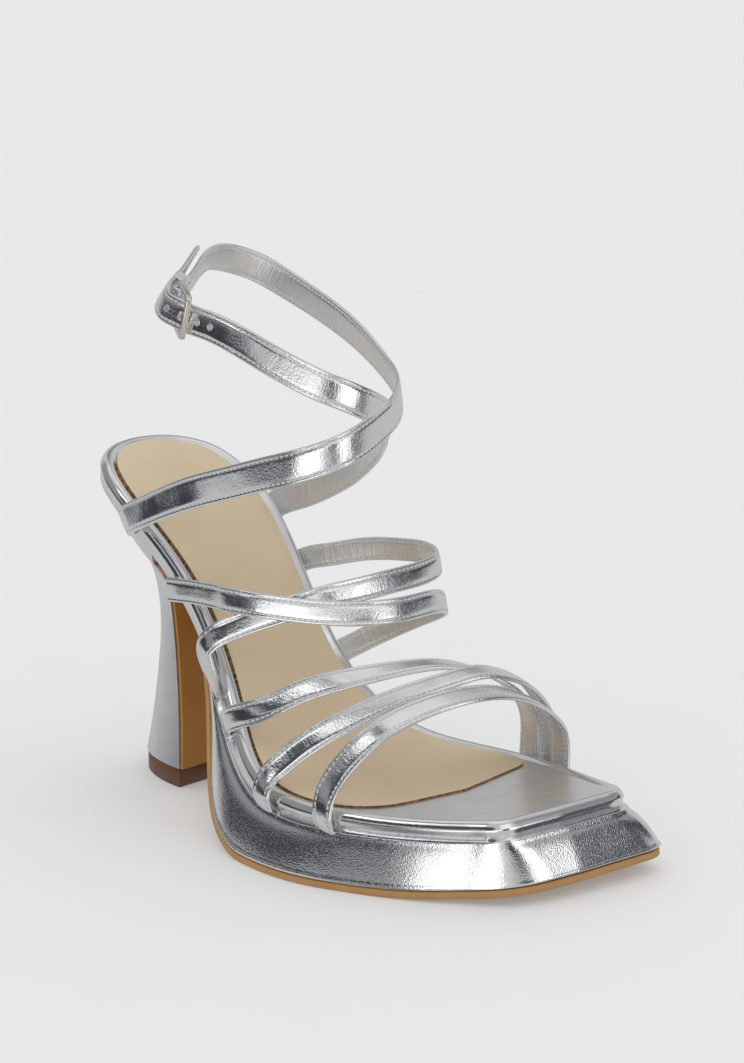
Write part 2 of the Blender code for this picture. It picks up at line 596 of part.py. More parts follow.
def make_buckle_frame():
    """Rectangular frame of round bar, lying on the inner strap and held by the outer strap's fold."""
    centre = (np.array(BUCKLE_FRONT) + np.array(BUCKLE_REAR)) / 2
    length = np.linalg.norm(np.subtract(BUCKLE_REAR, BUCKLE_FRONT))
    turns = np.radians(np.arange(BAR_SIDES) * 360.0 / BAR_SIDES)
    profile = [(BUCKLE_BAR / 2 * math.cos(turn), BUCKLE_BAR / 2 * math.sin(turn)) for turn in turns]
    loop = rounded_loop(length / 2, (BUCKLE_WIDTH - BUCKLE_BAR) / 2, BUCKLE_CORNER)
    closed_loop("buckle_frame", centre, buckle_axes(), loop, profile, nickel)


def make_prong():
    """Pin from the rear bar through the slot, resting over the front bar."""
    back, _, outward = buckle_axes()
    front = np.array(BUCKLE_FRONT)
    rear = np.array(BUCKLE_REAR)
    rest = BUCKLE_BAR / 2 + GAP + PRONG_RADIUS
    behind = rest + STRAP_THICKNESS + GAP
    path = [rear - back * behind, front + back * PRONG_BEND + outward * PRONG_DIP, front + outward * rest,
            front - back * PRONG_TIP + outward * rest]
    curve = bpy.data.curves.new("buckle_prong", "CURVE")
    curve.dimensions = "3D"
    curve.bevel_depth = PRONG_RADIUS * MM
    curve.bevel_resolution = 2
    curve.use_fill_caps = True
    line = curve.splines.new("POLY")
    line.points.add(len(path) - 1)
    for point, place in zip(line.points, path):
        point.co = (*((place - FRAME_CENTRE) * MM), 1.0)
    curve.materials.append(nickel)
    prong = bpy.data.objects.new("buckle_prong", curve)
    bpy.context.scene.collection.objects.link(prong)
    prong.parent = sandal


def make_keeper():
    """Leather loop that holds the free end of the inner strap against the outer one."""
    place = np.array(KEEPER_PLACE)
    strap_points = []
    for frames, widths in ((outer_ankle_frames(), (ANKLE_STRAP_WIDTH, ANKLE_STRAP_WIDTH)),
                           (inner_ankle_frames(), (ANKLE_STRAP_WIDTH, ANKLE_TAIL_WIDTH))):
        nearest = int(np.argmin(np.linalg.norm(frames[0] - place, axis=1)))
        strap_points += strap_sections(frames, widths)[nearest - 1:nearest + 2]
        side, outward = frames[1][nearest], frames[2][nearest]
    around = np.vstack(strap_points) - place
    spread_u, spread_v = around @ outward, around @ side
    middle_u = (spread_u.max() + spread_u.min()) / 2
    middle_v = (spread_v.max() + spread_v.min()) / 2
    half_u = (spread_u.max() - spread_u.min()) / 2 + GAP + KEEPER_WALL / 2
    half_v = (spread_v.max() - spread_v.min()) / 2 + GAP + KEEPER_WALL / 2
    centre = place + outward * middle_u + side * middle_v
    profile = [(-KEEPER_WALL / 2, -KEEPER_WIDTH / 2), (KEEPER_WALL / 2, -KEEPER_WIDTH / 2),
               (KEEPER_WALL / 2, KEEPER_WIDTH / 2), (-KEEPER_WALL / 2, KEEPER_WIDTH / 2)]
    axes = (outward, side, np.cross(outward, side))
    loop = rounded_loop(half_u, half_v, KEEPER_CORNER)
    closed_loop("strap_keeper", centre, axes, loop, profile, silver_leather)


for leftover in list(bpy.data.objects):
    bpy.data.objects.remove(leftover)
sandal = bpy.data.objects.new("sandal", None)
bpy.context.scene.collection.objects.link(sandal)
silver_leather = material("silver_leather", (0.62, 0.63, 0.64), 0.28, 1.0)
sock_leather = material("sock_leather", (0.72, 0.60, 0.44), 0.6, 0.0)
tan_sole = material("tan_sole", (0.62, 0.42, 0.22), 0.6, 0.0)
tan_breast = material("tan_breast", (0.50, 0.28, 0.09), 0.5, 0.0)
brown_top_piece = material("brown_top_piece", (0.22, 0.10, 0.05), 0.5, 0.0)
nickel = material("nickel", (0.78, 0.75, 0.68), 0.22, 1.0)

make_footbed()
make_sock()
make_platform()
make_outsole()
make_heel()
make_top_piece()
make_breast_cover()
make_toe_straps()
make_instep_straps()
make_ankle_straps()
make_buckle_frame()
make_prong()
make_keeper()
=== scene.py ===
"""Looks of the right-foot platform sandal.

Silver leather straps stand on a wrapped footbed, platform and block heel.  Sizes are in millimetres,
in the axes that the outlines were drawn in, until a sheet is laid on them.  The floor is z = 0, the
toe points along -Y and the buckle is on the outer side, towards -X.
"""

import math
from collections import namedtuple

import bpy
import numpy as np
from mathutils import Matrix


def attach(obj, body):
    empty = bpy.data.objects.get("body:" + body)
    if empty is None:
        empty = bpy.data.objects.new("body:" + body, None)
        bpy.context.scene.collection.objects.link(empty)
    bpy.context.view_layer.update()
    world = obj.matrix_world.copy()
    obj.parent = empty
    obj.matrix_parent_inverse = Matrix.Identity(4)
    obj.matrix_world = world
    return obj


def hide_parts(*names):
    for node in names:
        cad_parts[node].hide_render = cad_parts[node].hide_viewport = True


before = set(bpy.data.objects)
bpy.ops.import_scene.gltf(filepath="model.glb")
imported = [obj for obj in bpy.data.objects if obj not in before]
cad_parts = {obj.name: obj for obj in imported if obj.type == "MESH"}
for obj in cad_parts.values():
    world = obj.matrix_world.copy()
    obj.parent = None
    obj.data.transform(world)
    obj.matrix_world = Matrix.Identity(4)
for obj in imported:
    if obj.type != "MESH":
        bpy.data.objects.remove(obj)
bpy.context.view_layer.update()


# Outsole.  A thin sheet of tan rubber from the toe to the heel's breast, cut to the platform's foot
# and bent up along the arch.  It is glued on, with its raw edge left to show.
MM = 0.001
DRAWING_ORIGIN = np.array([-1.18, 1.69, 0.0])
OUTSOLE_THICKNESS = 2.4
OUTSOLE_ROUNDING = 0.35
FOOTBED_THICKNESS = 7.0
GLUE_GAP = 0.3
SIDE_POINTS = 84
CORNER_POINTS = 10
TOE_POINTS = 12
RUNG_POINTS = 17
MERGE_DISTANCE = 0.002
SLIVER = 0.0001

Station = namedtuple("Station", "name outer_x outer_y inner_x inner_y")
Toe = namedtuple("Toe", "outer_corner inner_corner middle outer_radius inner_radius")

FOOTBED_LINE = [(-108, 31.0), (-92, 28.0), (-75, 26.0), (-58, 25.2), (-38, 25.0), (-22, 25.2), (-8, 26.6),
                (4, 30.4), (15, 37.5), (27, 49.7), (40, 66.2), (52, 81.0), (64, 93.6), (78, 104.8),
                (90, 111.8), (106, 116.6)]
TREAD_LINE = [(-110, 8.8), (-95, 6.7), (-80, 4.7), (-65, 3.2), (-50, 2.4), (-25, 2.3), (-6, 2.3), (2, 2.8),
              (9, 5.0), (16.5, 9.4), (22.5, 15.8), (30, 29.4), (35, 40.0), (40, 50.0), (45, 59.8)]
SHANK_STATIONS = (44.0, 50.0, 56.0, 62.0)
PLATFORM_STATIONS = [
    Station("shank", -23.5, 42.5, 23.0, 42.5),
    Station("shank front", -27.0, 37.0, 25.5, 37.0),
    Station("rear", -38.0, 24.0, 31.0, 24.0),
    Station("rear turn", -46.0, 11.0, 36.0, 10.0),
    Station("ball back", -50.0, -8.0, 41.0, -10.0),
    Station("ball", -48.9, -28.0, 44.6, -28.0),
    Station("ball front", -42.3, -46.5, 46.4, -46.0),
    Station("toe side", -34.0, -64.0, 46.0, -66.0),
    Station("toe corner", -25.9, -76.0, 43.4, -90.0),
]
PLATFORM_TOE = Toe((-15.8, -92.0), (42.4, -103.7), (6.0, -97.4), 12.5, 10.0)
OUTSOLE_STATIONS = [
    Station("breast", -16.6, 61.0, 16.6, 61.0),
    Station("shank back", -19.0, 54.0, 18.6, 54.0),
    Station("shank", -22.4, 45.0, 21.8, 45.0),
] + PLATFORM_STATIONS[1:]
OUTSOLE_REAR_END = (0.0, 62.0)


def evenly(curve, count):
    """The curve again, as a number of points at even distances."""
    steps = np.linalg.norm(np.diff(curve, axis=0), axis=1)
    reached = np.concatenate([[0.0], np.cumsum(steps)])
    wanted = np.linspace(0.0, reached[-1], count)
    return np.stack([np.interp(wanted, reached, column) for column in curve.T], axis=1)


def spline(rows, density=24):
    """A dense natural cubic curve through the rows."""
    rows = np.array(rows, float)
    count = len(rows)
    spans = np.linalg.norm(np.diff(rows, axis=0), axis=1)
    knots = np.concatenate([[0.0], np.cumsum(spans)])
    system = np.eye(count)
    pull = np.zeros_like(rows)
    for i in range(1, count - 1):
        system[i, i - 1:i + 2] = spans[i - 1], 2 * (spans[i - 1] + spans[i]), spans[i]
        pull[i] = 6 * ((rows[i + 1] - rows[i]) / spans[i] - (rows[i] - rows[i - 1]) / spans[i - 1])
    bend = np.linalg.solve(system, pull)
    along = np.linspace(0.0, knots[-1], density * count)
    k = np.clip(np.searchsorted(knots, along, side="right") - 1, 0, count - 2)
    past = (along - knots[k])[:, None]
    left = (knots[k + 1] - along)[:, None]
    span = spans[k][:, None]
    cubic = (bend[k] * left**3 + bend[k + 1] * past**3) / (6 * span)
    before = (rows[k] / span - bend[k] * span / 6) * left
    after = (rows[k + 1] / span - bend[k + 1] * span / 6) * past
    return cubic + before + after


def laid_on(line, plan, depth):
    """Plan points laid on a side-view line, then moved square to it, downwards, by a depth."""
    curve = spline(line)
    slopes = np.arctan(np.gradient(curve[:, 1], curve[:, 0]))
    height = np.interp(plan[..., 1], curve[:, 0], curve[:, 1])
    slope = np.interp(plan[..., 1], curve[:, 0], slopes)
    moved_along = plan[..., 1] + depth * np.sin(slope)
    return np.stack([plan[..., 0], moved_along, height - depth * np.cos(slope)], axis=-1)


def towards(origin, target, distance):
    """The point at a distance from origin on the way to target."""
    origin, target = np.array(origin, float), np.array(target, float)
    return origin + (target - origin) * distance / np.linalg.norm(target - origin)


def plan_outline(stations, heel_end, toe):
    """A closed plan outline from the heel end along the outer side, round the toe and back."""
    outer = [(s.outer_x, s.outer_y) for s in stations]
    inner = [(s.inner_x, s.inner_y) for s in stations]
    around = spline(outer[::-1] + [heel_end] + inner)
    turn = int(np.argmin(np.linalg.norm(around - np.array(heel_end), axis=1)))
    turns = np.linspace(0.0, 1.0, CORNER_POINTS + 1)[:, None]
    halves = []
    for side, corner, radius in ((around[turn::-1], toe.outer_corner, toe.outer_radius),
                                 (around[turn:], toe.inner_corner, toe.inner_radius)):
        start = towards(corner, side[-1], radius)
        end = towards(corner, toe.middle, radius)
        bend = (1 - turns)**2 * start + 2 * turns * (1 - turns) * np.array(corner) + turns**2 * end
        straight = evenly(np.array([end, toe.middle]), TOE_POINTS + 1)
        half = [evenly(np.vstack([side, [start]]), SIDE_POINTS + 1), bend[1:], straight[1:]]
        halves.append(np.vstack(half))
    return np.vstack([halves[0], halves[1][-2:0:-1]])


def grow(plan, distance):
    """A closed plan outline moved outwards by a distance."""
    along = np.roll(plan, -1, axis=0) - np.roll(plan, 1, axis=0)
    along /= np.linalg.norm(along, axis=1)[:, None]
    return plan + distance * np.stack([along[:, 1], -along[:, 0]], axis=1)


def to_metres(points):
    """Drawing points in the part's own frame."""
    return (points - DRAWING_ORIGIN) * MM


def laid_sheet(name, rows, wrapped=False):
    """A flat grid whose rows are laid on rows of points; wrapped brings each row back to its start."""
    rows = np.asarray(rows, float)
    if wrapped:
        rows = np.concatenate([rows, rows[:, :1]], axis=1)
    bpy.ops.object.select_all(action="DESELECT")
    bpy.ops.mesh.primitive_grid_add(x_subdivisions=rows.shape[1] - 1, y_subdivisions=rows.shape[0] - 1)
    sheet = bpy.context.object
    sheet.name = sheet.data.name = name
    sheet.data.vertices.foreach_set("co", to_metres(rows).astype(np.float32).ravel())
    sheet.data.update()
    return sheet


def rungs(ring):
    """Points across a closed outline, row by row from its heel end to its toe."""
    half = len(ring) // 2
    outer = ring[:half + 1]
    inner = np.vstack([ring[:1], ring[:half - 1:-1]])
    share = np.linspace(0.0, 1.0, RUNG_POINTS)[None, :, None]
    return outer[:, None] * (1 - share) + inner[:, None] * share


def joined(name, sheets):
    """Sheets joined into one closed piece, with its faces outwards."""
    bpy.ops.object.select_all(action="DESELECT")
    for sheet in sheets:
        sheet.select_set(True)
    bpy.context.view_layer.objects.active = sheets[0]
    if len(sheets) > 1:
        bpy.ops.object.join()
    piece = bpy.context.object
    piece.name = piece.data.name = name
    bpy.ops.object.mode_set(mode="EDIT")
    bpy.ops.mesh.select_all(action="SELECT")
    bpy.ops.mesh.remove_doubles(threshold=MERGE_DISTANCE * MM)
    bpy.ops.mesh.dissolve_degenerate(threshold=SLIVER * MM)
    bpy.ops.mesh.normals_make_consistent(inside=False)
    bpy.ops.object.mode_set(mode="OBJECT")
    return piece


def layered_piece(name, rings):
    """A closed piece: a wall wrapped through the rings, and a sheet of rungs over each end."""
    wall = laid_sheet(name, rings, wrapped=True)
    ends = [laid_sheet(name, rungs(np.asarray(ring))) for ring in (rings[0], rings[-1])]
    return joined(name, [wall] + ends)


def smooth(piece, degrees):
    """Smooth shading, with edges sharper than an angle left crisp."""
    bpy.ops.object.select_all(action="DESELECT")
    piece.select_set(True)
    bpy.context.view_layer.objects.active = piece
    bpy.ops.object.shade_smooth_by_angle(angle=math.radians(degrees))


def settle(piece, node, slot, *materials):
    """Materials, the CAD node that the piece stands for, and the body it rides on."""
    piece.data.materials.clear()
    for material in materials:
        piece.data.materials.append(material)
    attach(piece, "root")
    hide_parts(node)


class Wire:
    """A shader socket that adds Math nodes when it is reckoned with."""

    def __init__(self, tree, socket):
        self.tree, self.socket = tree, socket

    def reckon(self, operation, first, second):
        node = self.tree.nodes.new("ShaderNodeMath")
        node.operation = operation
        for slot, value in zip(node.inputs, (first, second)):
            plug(self.tree, slot, value)
        return Wire(self.tree, node.outputs[0])

    def __add__(self, other):
        return self.reckon("ADD", self, other)

    def __radd__(self, other):
        return self.reckon("ADD", other, self)

    def __sub__(self, other):
        return self.reckon("SUBTRACT", self, other)

    def __rsub__(self, other):
        return self.reckon("SUBTRACT", other, self)

    def __mul__(self, other):
        return self.reckon("MULTIPLY", self, other)

    def __rmul__(self, other):
        return self.reckon("MULTIPLY", other, self)


def plug(tree, slot, value):
    """A link from a wire, or a plain value, in a node's socket."""
    if isinstance(value, Wire):
        tree.links.new(value.socket, slot)
    else:
        slot.default_value = value


class Mixer:
    """A node tree being filled: any node comes from add(), and the rest are mixtures used often here."""

    def __init__(self, tree):
        self.tree = tree

    def add(self, kind, settings, sockets, output=0):
        """A node of a kind, with its settings, then the values or wires of its sockets."""
        node = self.tree.nodes.new(kind)
        for setting, value in settings.items():
            setattr(node, setting, value)
        for name, value in sockets.items():
            plug(self.tree, node.inputs[name], value)
        return Wire(self.tree, node.outputs[output])

    def place(self, scale=(1.0, 1.0, 1.0), source="Object"):
        """Object coordinates in metres, or the piece's own UV map, stretched by a scale."""
        coordinates = self.add("ShaderNodeTexCoord", {}, {}, source)
        return self.add("ShaderNodeMapping", {}, {"Vector": coordinates, "Scale": scale})

    def noise(self, place, scale, detail=2.0, roughness=0.5):
        return self.add("ShaderNodeTexNoise", {}, {"Vector": place, "Scale": scale, "Detail": detail,
                                                   "Roughness": roughness}, "Fac")

    def cells(self, place, scale):
        sockets = {"Vector": place, "Scale": scale}
        return self.add("ShaderNodeTexVoronoi", {"feature": "F1"}, sockets, "Distance")

    def ease(self, value, start, stop):
        """A smooth step from nought at start to one at stop."""
        settings = {"interpolation_type": "SMOOTHSTEP"}
        sockets = {"Value": value, "From Min": start, "From Max": stop}
        return self.add("ShaderNodeMapRange", settings, sockets)

    def blend(self, share, first, second):
        """A colour between two colours."""
        return self.add("ShaderNodeMix", {"data_type": "RGBA"}, {0: share, 6: first, 7: second}, 2)


class Finish(Mixer):
    """A material being mixed on a Principled shader; its constants are set on the shader itself."""

    def __init__(self, name, constants):
        self.material = bpy.data.materials.new(name)
        self.material.use_nodes = True
        super().__init__(self.material.node_tree)
        self.shader = self.tree.nodes["Principled BSDF"]
        self.drive(constants)

    def drive(self, sockets):
        for name, value in sockets.items():
            plug(self.tree, self.shader.inputs[name], value)

    def relief(self, layers):
        """Bump nodes one on another, from (height wire, depth in metres) pairs, into the shader's normal."""
        normal = None
        for height, depth in layers:
            sockets = {"Height": height, "Distance": depth, "Strength": 1.0}
            if normal:
                sockets["Normal"] = normal
            normal = self.add("ShaderNodeBump", {}, sockets)
        self.drive({"Normal": normal})


def colour(red, green, blue):
    return (red, green, blue, 1.0)


TAN_DARK = colour(0.36, 0.195, 0.070)
TAN_LIGHT = colour(0.48, 0.275, 0.110)


def tan_rubber():
    """Tan rubber: matt, with a faint mottle and the fine scores of a trimmed edge."""
    finish = Finish("tan_rubber", {"Specular IOR Level": 0.35})
    place = finish.place()
    mottle = finish.noise(place, 90.0, 4.0)
    scores = finish.noise(finish.place((400.0, 400.0, 5200.0)), 1.0, 2.0)
    finish.drive({"Base Color": finish.blend(mottle, TAN_DARK, TAN_LIGHT),
                  "Roughness": 0.42 + 0.25 * mottle})
    finish.relief([(scores, 0.00006), (finish.noise(place, 2600.0), 0.00003)])
    return finish.material


def tread_line():
    """The outsole's upper face along the whole foot, up to the heel's breast."""
    shank = np.array([(0.0, y) for y in SHANK_STATIONS])
    rise = laid_on(FOOTBED_LINE, shank, FOOTBED_THICKNESS + GLUE_GAP)
    return TREAD_LINE + [(y, z) for _, y, z in rise]


outsole_plan = plan_outline(OUTSOLE_STATIONS, OUTSOLE_REAR_END, PLATFORM_TOE)
outsole_rings = []
for depth, inset in ((OUTSOLE_THICKNESS, OUTSOLE_ROUNDING), (OUTSOLE_THICKNESS - OUTSOLE_ROUNDING, 0.0),
                     (OUTSOLE_ROUNDING, 0.0), (0.0, OUTSOLE_ROUNDING)):
    ring = laid_on(tread_line(), grow(outsole_plan, -inset), depth)
    ring[:, 2] = np.maximum(ring[:, 2], 0.0)
    outsole_rings.append(ring)
outsole = layered_piece("outsole_sheet", outsole_rings)
smooth(outsole, 50)
settle(outsole, "outsole", "tan_sole", tan_rubber())


# Platform.  A cork or foam block wrapped in silver foil leather, flared towards the tread and drawn
# out to a wedge under the arch.  The leather is lasted under at both edges, which rounds them.
SOLE_GAP = 0.5
PLATFORM_ROWS_PER_STEP = 4
PLATFORM_LAP = 0.5
PLATFORM_TOP_DEPTH = FOOTBED_THICKNESS - PLATFORM_LAP
PLATFORM_REAR_END = (0.0, 43.4)
PLATFORM_TOP_SHANK = Station("shank", -23.6, 37.4, 23.4, 37.4)
PLATFORM_TOP_REAR_END = (0.0, 38.2)
PLATFORM_TOP_OUTWARD = 1.3
FOOTBED_STATIONS = [
    Station("heel turn", -15.8, 101.2, 14.0, 101.4),
    Station("heel side", -26.2, 90.0, 25.0, 90.0),
    Station("seat", -29.4, 77.0, 29.4, 77.0),
    Station("seat front", -27.6, 62.0, 30.0, 62.0),
    Station("waist", -25.0, 43.0, 27.0, 43.0),
    Station("arch", -27.6, 29.0, 26.0, 28.0),
    Station("arch front", -36.8, 10.0, 29.4, 10.0),
    Station("ball back", -44.2, -10.0, 35.0, -10.0),
    Station("ball", -44.4, -28.0, 39.4, -28.0),
    Station("ball front", -39.0, -47.0, 41.8, -46.0),
    Station("toe side", -29.4, -66.0, 40.2, -66.0),
    Station("toe corner", -21.9, -78.0, 35.6, -84.0),
]
FOOTBED_TOE = Toe((-17.4, -86.0), (31.8, -96.0), (4.0, -90.8), 5.5, 9.0)
# The wall as shares of its height and of its flare, swelling a little, with a turned bead at the foot
# and a rounded top.
PLATFORM_WALL = [(0.0, 0.93), (0.012, 1.03), (0.045, 1.07), (0.080, 1.03), (0.095, 0.985), (0.12, 0.965),
                 (0.2, 0.91), (0.5, 0.63), (0.84, 0.18), (0.955, 0.0), (0.987, -0.03), (1.0, -0.14)]
SILVER_DARK = colour(0.80, 0.81, 0.825)
SILVER_LIGHT = colour(0.94, 0.94, 0.945)
# Where the grain turns finer, in metres along the foot, and by what share.
GRAIN_FADES = (-0.040, -0.075)
GRAIN_LOSS = 0.5


def loft(rings, count):
    """Rings of matching points, drawn smoothly into more of them."""
    rings = np.asarray(rings, float)
    path = spline(rings.reshape(len(rings), -1))
    return evenly(path, count).reshape(count, -1, 3)


def silver_leather(name, roughness, grain_depth, crease_depth):
    """Foil leather: mirror bright, broken by a fine grain of flecks that lie level and by soft creases."""
    finish = Finish(name, {"Metallic": 1.0})
    place = finish.place()
    warp = finish.noise(place, 160.0, 2.0)
    grain = finish.noise(finish.place((1.0, 1.0, 2.8)), 850.0, 2.0, 0.6)
    pores = finish.cells(place, 2000.0)
    creases = finish.noise(finish.place((1.0, 1.0, 1.6)), 90.0, 1.0, 0.5)
    along_foot = finish.add("ShaderNodeSeparateXYZ", {}, {"Vector": place}, "Y")
    fading = 1 - GRAIN_LOSS * finish.ease(along_foot, *GRAIN_FADES)
    finish.drive({"Base Color": finish.blend(warp, SILVER_DARK, SILVER_LIGHT),
                  "Roughness": roughness + 0.10 * (grain - 0.5)})
    finish.relief([(creases, crease_depth), (pores, 0.4 * grain_depth), (grain * fading, grain_depth)])
    return finish.material


platform_plan = plan_outline(PLATFORM_STATIONS, PLATFORM_REAR_END, PLATFORM_TOE)
platform_foot = laid_on(tread_line(), platform_plan, -SOLE_GAP)
arch = [station.name for station in FOOTBED_STATIONS].index("arch")
platform_top_stations = [PLATFORM_TOP_SHANK] + FOOTBED_STATIONS[arch:]
platform_top_plan = plan_outline(platform_top_stations, PLATFORM_TOP_REAR_END, FOOTBED_TOE)
platform_top = laid_on(FOOTBED_LINE, grow(platform_top_plan, PLATFORM_TOP_OUTWARD), PLATFORM_TOP_DEPTH)
platform_rings = []
for height, flare in spline(PLATFORM_WALL, PLATFORM_ROWS_PER_STEP):
    ring = platform_top + (platform_foot - platform_top) * flare
    ring[:, 2] = platform_foot[:, 2] + (platform_top[:, 2] - platform_foot[:, 2]) * height
    platform_rings.append(ring)
platform = layered_piece("platform_wrap", platform_rings)
smooth(platform, 60)
settle(platform, "platform", "silver_leather", silver_leather("platform_silver", 0.13, 0.00007, 0.00010))


# Footbed.  An insole board wrapped in the silver leather over a soft cord, which makes the rolled
# edge; the leather is pulled down the wall below it and glued under.
FOOTBED_HEEL_END = (-1.5, 105.0)
FOOTBED_ROWS = 46
# The wrapped edge as (outwards, depth) pairs, from the wall's foot over the roll to the flat.
FOOTBED_RIM = [(-0.75, 7.05), (-0.70, 6.3), (-0.62, 5.5), (-0.45, 4.7), (-0.18, 3.8), (0.0, 3.0),
               (-0.18, 2.2), (-0.62, 1.25), (-1.3, 0.5), (-2.35, 0.1), (-3.4, 0.3), (-4.2, 0.75),
               (-4.7, 0.98), (-5.2, 1.0)]
FLAT_DEPTH = 0.95
FLAT_UPWARD = 0.2


def faces_upward(piece, share):
    """Numbers of the faces that look up by more than a share, from their normals."""
    normals = np.zeros(3 * len(piece.data.polygons), np.float32)
    piece.data.polygons.foreach_get("normal", normals)
    return np.flatnonzero(normals.reshape(-1, 3)[:, 2] > share)


footbed_plan = plan_outline(FOOTBED_STATIONS, FOOTBED_HEEL_END, FOOTBED_TOE)
footbed_rings = []
for outward, depth in evenly(spline(FOOTBED_RIM), FOOTBED_ROWS):
    footbed_rings.append(laid_on(FOOTBED_LINE, grow(footbed_plan, outward), depth))
footbed = layered_piece("footbed_wrap", footbed_rings)
smooth(footbed, 60)
settle(footbed, "footbed", "silver_leather", silver_leather("footbed_silver", 0.13, 0.000014, 0.00008),
       silver_leather("footbed_flat_silver", 0.34, 0.00002, 0.00012))
rim_faces = (FOOTBED_ROWS - 1) * len(footbed_plan)
for number in faces_upward(footbed, FLAT_UPWARD):
    if number >= rim_faces:
        footbed.data.polygons[number].material_index = 1


# Insole sock.  Thin beige lining leather, cut with a rounded front and glued on the footbed.  Its
# cut edge is left raw and shows brown.
SOCK_THICKNESS = 0.7
SOCK_ROUNDING = 0.2
SOCK_SHOULDER = 0.12
SOCK_HOLLOW = 0.05
SOCK_SINK = 0.05
SOCK_UPWARD = 0.45
SOCK_DARK = colour(0.60, 0.475, 0.315)
SOCK_LIGHT = colour(0.70, 0.575, 0.405)
EDGE_DARK = colour(0.07, 0.028, 0.012)
EDGE_LIGHT = colour(0.42, 0.235, 0.105)
SOCK_STATIONS = [
    Station("heel turn", -11.6, 97.8, 9.6, 97.8),
    Station("heel side", -20.8, 89.0, 18.6, 89.0),
    Station("seat", -24.0, 77.0, 23.8, 77.0),
    Station("seat front", -22.2, 62.0, 24.6, 62.0),
    Station("waist", -19.6, 43.0, 21.6, 43.0),
    Station("arch", -22.2, 29.0, 20.6, 28.0),
    Station("arch front", -31.4, 10.0, 24.0, 10.0),
    Station("ball back", -38.8, -10.0, 29.6, -10.0),
    Station("ball", -39.4, -22.0, 33.6, -28.0),
    Station("ball front", -38.8, -28.0, 35.8, -39.0),
]
SOCK_HEEL_END = (-1.7, 100.5)
SOCK_TOE = Toe((-34.6, -44.8), (37.4, -49.4), (2.0, -52.9), 16.5, 9.0)


def sock_leather():
    """Beige lining leather: matt, finely pored, a little uneven in colour."""
    finish = Finish("beige_lining", {"Specular IOR Level": 0.3})
    place = finish.place()
    clouds = finish.noise(place, 45.0, 4.0)
    pores = finish.cells(place, 2200.0)
    fibres = finish.noise(place, 3800.0, 3.0)
    finish.drive({"Base Color": finish.blend(clouds, SOCK_DARK, SOCK_LIGHT),
                  "Roughness": 0.5 + 0.2 * fibres})
    finish.relief([(clouds, 0.0004), (pores, 0.00003), (fibres, 0.00002)])
    return finish.material


def raw_edge():
    """Cut edge of the lining: brown, fibrous board and leather."""
    finish = Finish("raw_brown_edge", {"Specular IOR Level": 0.2})
    fibres = finish.noise(finish.place((1.0, 1.0, 2.0)), 1100.0, 4.0, 0.7)
    specks = finish.ease(fibres, 0.38, 0.62)
    finish.drive({"Base Color": finish.blend(specks, EDGE_DARK, EDGE_LIGHT),
                  "Roughness": 0.7 + 0.2 * fibres})
    finish.relief([(fibres, 0.0002)])
    return finish.material


sock_plan = plan_outline(SOCK_STATIONS, SOCK_HEEL_END, SOCK_TOE)
sock_seat = FLAT_DEPTH + SOCK_SINK
sock_rings = []
for lift, inset in ((0.0, 0.0), (0.5 * SOCK_THICKNESS, SOCK_HOLLOW), (SOCK_THICKNESS - SOCK_SHOULDER, 0.0),
                    (SOCK_THICKNESS, SOCK_ROUNDING)):
    sock_rings.append(laid_on(FOOTBED_LINE, grow(sock_plan, -inset), sock_seat - lift))
sock = layered_piece("insole_sock_lining", sock_rings)
smooth(sock, 50)
settle(sock, "insole_sock", "sock_leather", raw_edge(), sock_leather())
for number in faces_upward(sock, SOCK_UPWARD):
    sock.data.polygons[number].material_index = 1


# Heel block.  A plastic block wrapped in silver leather of a paler, smoother finish: waisted under
# the seat, flared to its foot, with the leather turned round the two edges of the breast.
HeelRow = namedtuple("HeelRow", "front_y back_y front_z back_z half_width centre_x fullness")
TOP_PIECE_HEIGHT = 6.8
HEEL_FOOT = TOP_PIECE_HEIGHT + GLUE_GAP
HEEL_SEAT_FRONT = 61.0
HEEL_SEAT_INSET = 1.4
HEEL_SIDE_POINTS = 40
HEEL_LEVELS = 48
HEEL_ROWS = [
    HeelRow(64.8, 96.6, HEEL_FOOT, HEEL_FOOT, 19.0, 1.8, 2.1),
    HeelRow(66.2, 92.9, 20.0, 20.0, 17.0, 1.3, 2.1),
    HeelRow(68.0, 88.8, 38.0, 38.0, 15.2, 0.8, 2.1),
    HeelRow(69.8, 86.0, 54.0, 54.5, 14.2, 0.4, 2.1),
    HeelRow(70.6, 86.0, 64.0, 67.0, 14.4, 0.2, 2.15),
    HeelRow(70.2, 88.4, 71.0, 78.5, 16.2, 0.3, 2.2),
    HeelRow(69.0, 93.2, 76.0, 89.5, 19.8, 0.5, 2.3),
    HeelRow(67.4, 99.4, 80.4, 99.0, 24.6, 0.8, 2.45),
]


def heel_ring(row, inset=0.0):
    """One section of the heel: a straight breast in front and a rounded back."""
    turns = np.linspace(0.5 * math.pi, 0.0, HEEL_SIDE_POINTS + 1)
    power = 2.0 / row.fullness
    reach = (row.half_width - inset) * np.cos(turns)**power
    share = np.sin(turns)**power
    back_y, front_y = row.back_y - inset, row.front_y + inset
    y = front_y + (back_y - front_y) * share
    z = row.front_z + (row.back_z - row.front_z) * share
    outer = np.stack([row.centre_x - reach, y, z], axis=1)
    inner = np.stack([row.centre_x + reach, y, z], axis=1)
    return breast_closed(outer, inner)


def breast_closed(outer, inner):
    """A section's two sides, from the back to the breast, joined along the breast."""
    middle = (outer[-1:] + inner[-1:]) / 2
    return np.vstack([outer, middle, inner[:0:-1]])


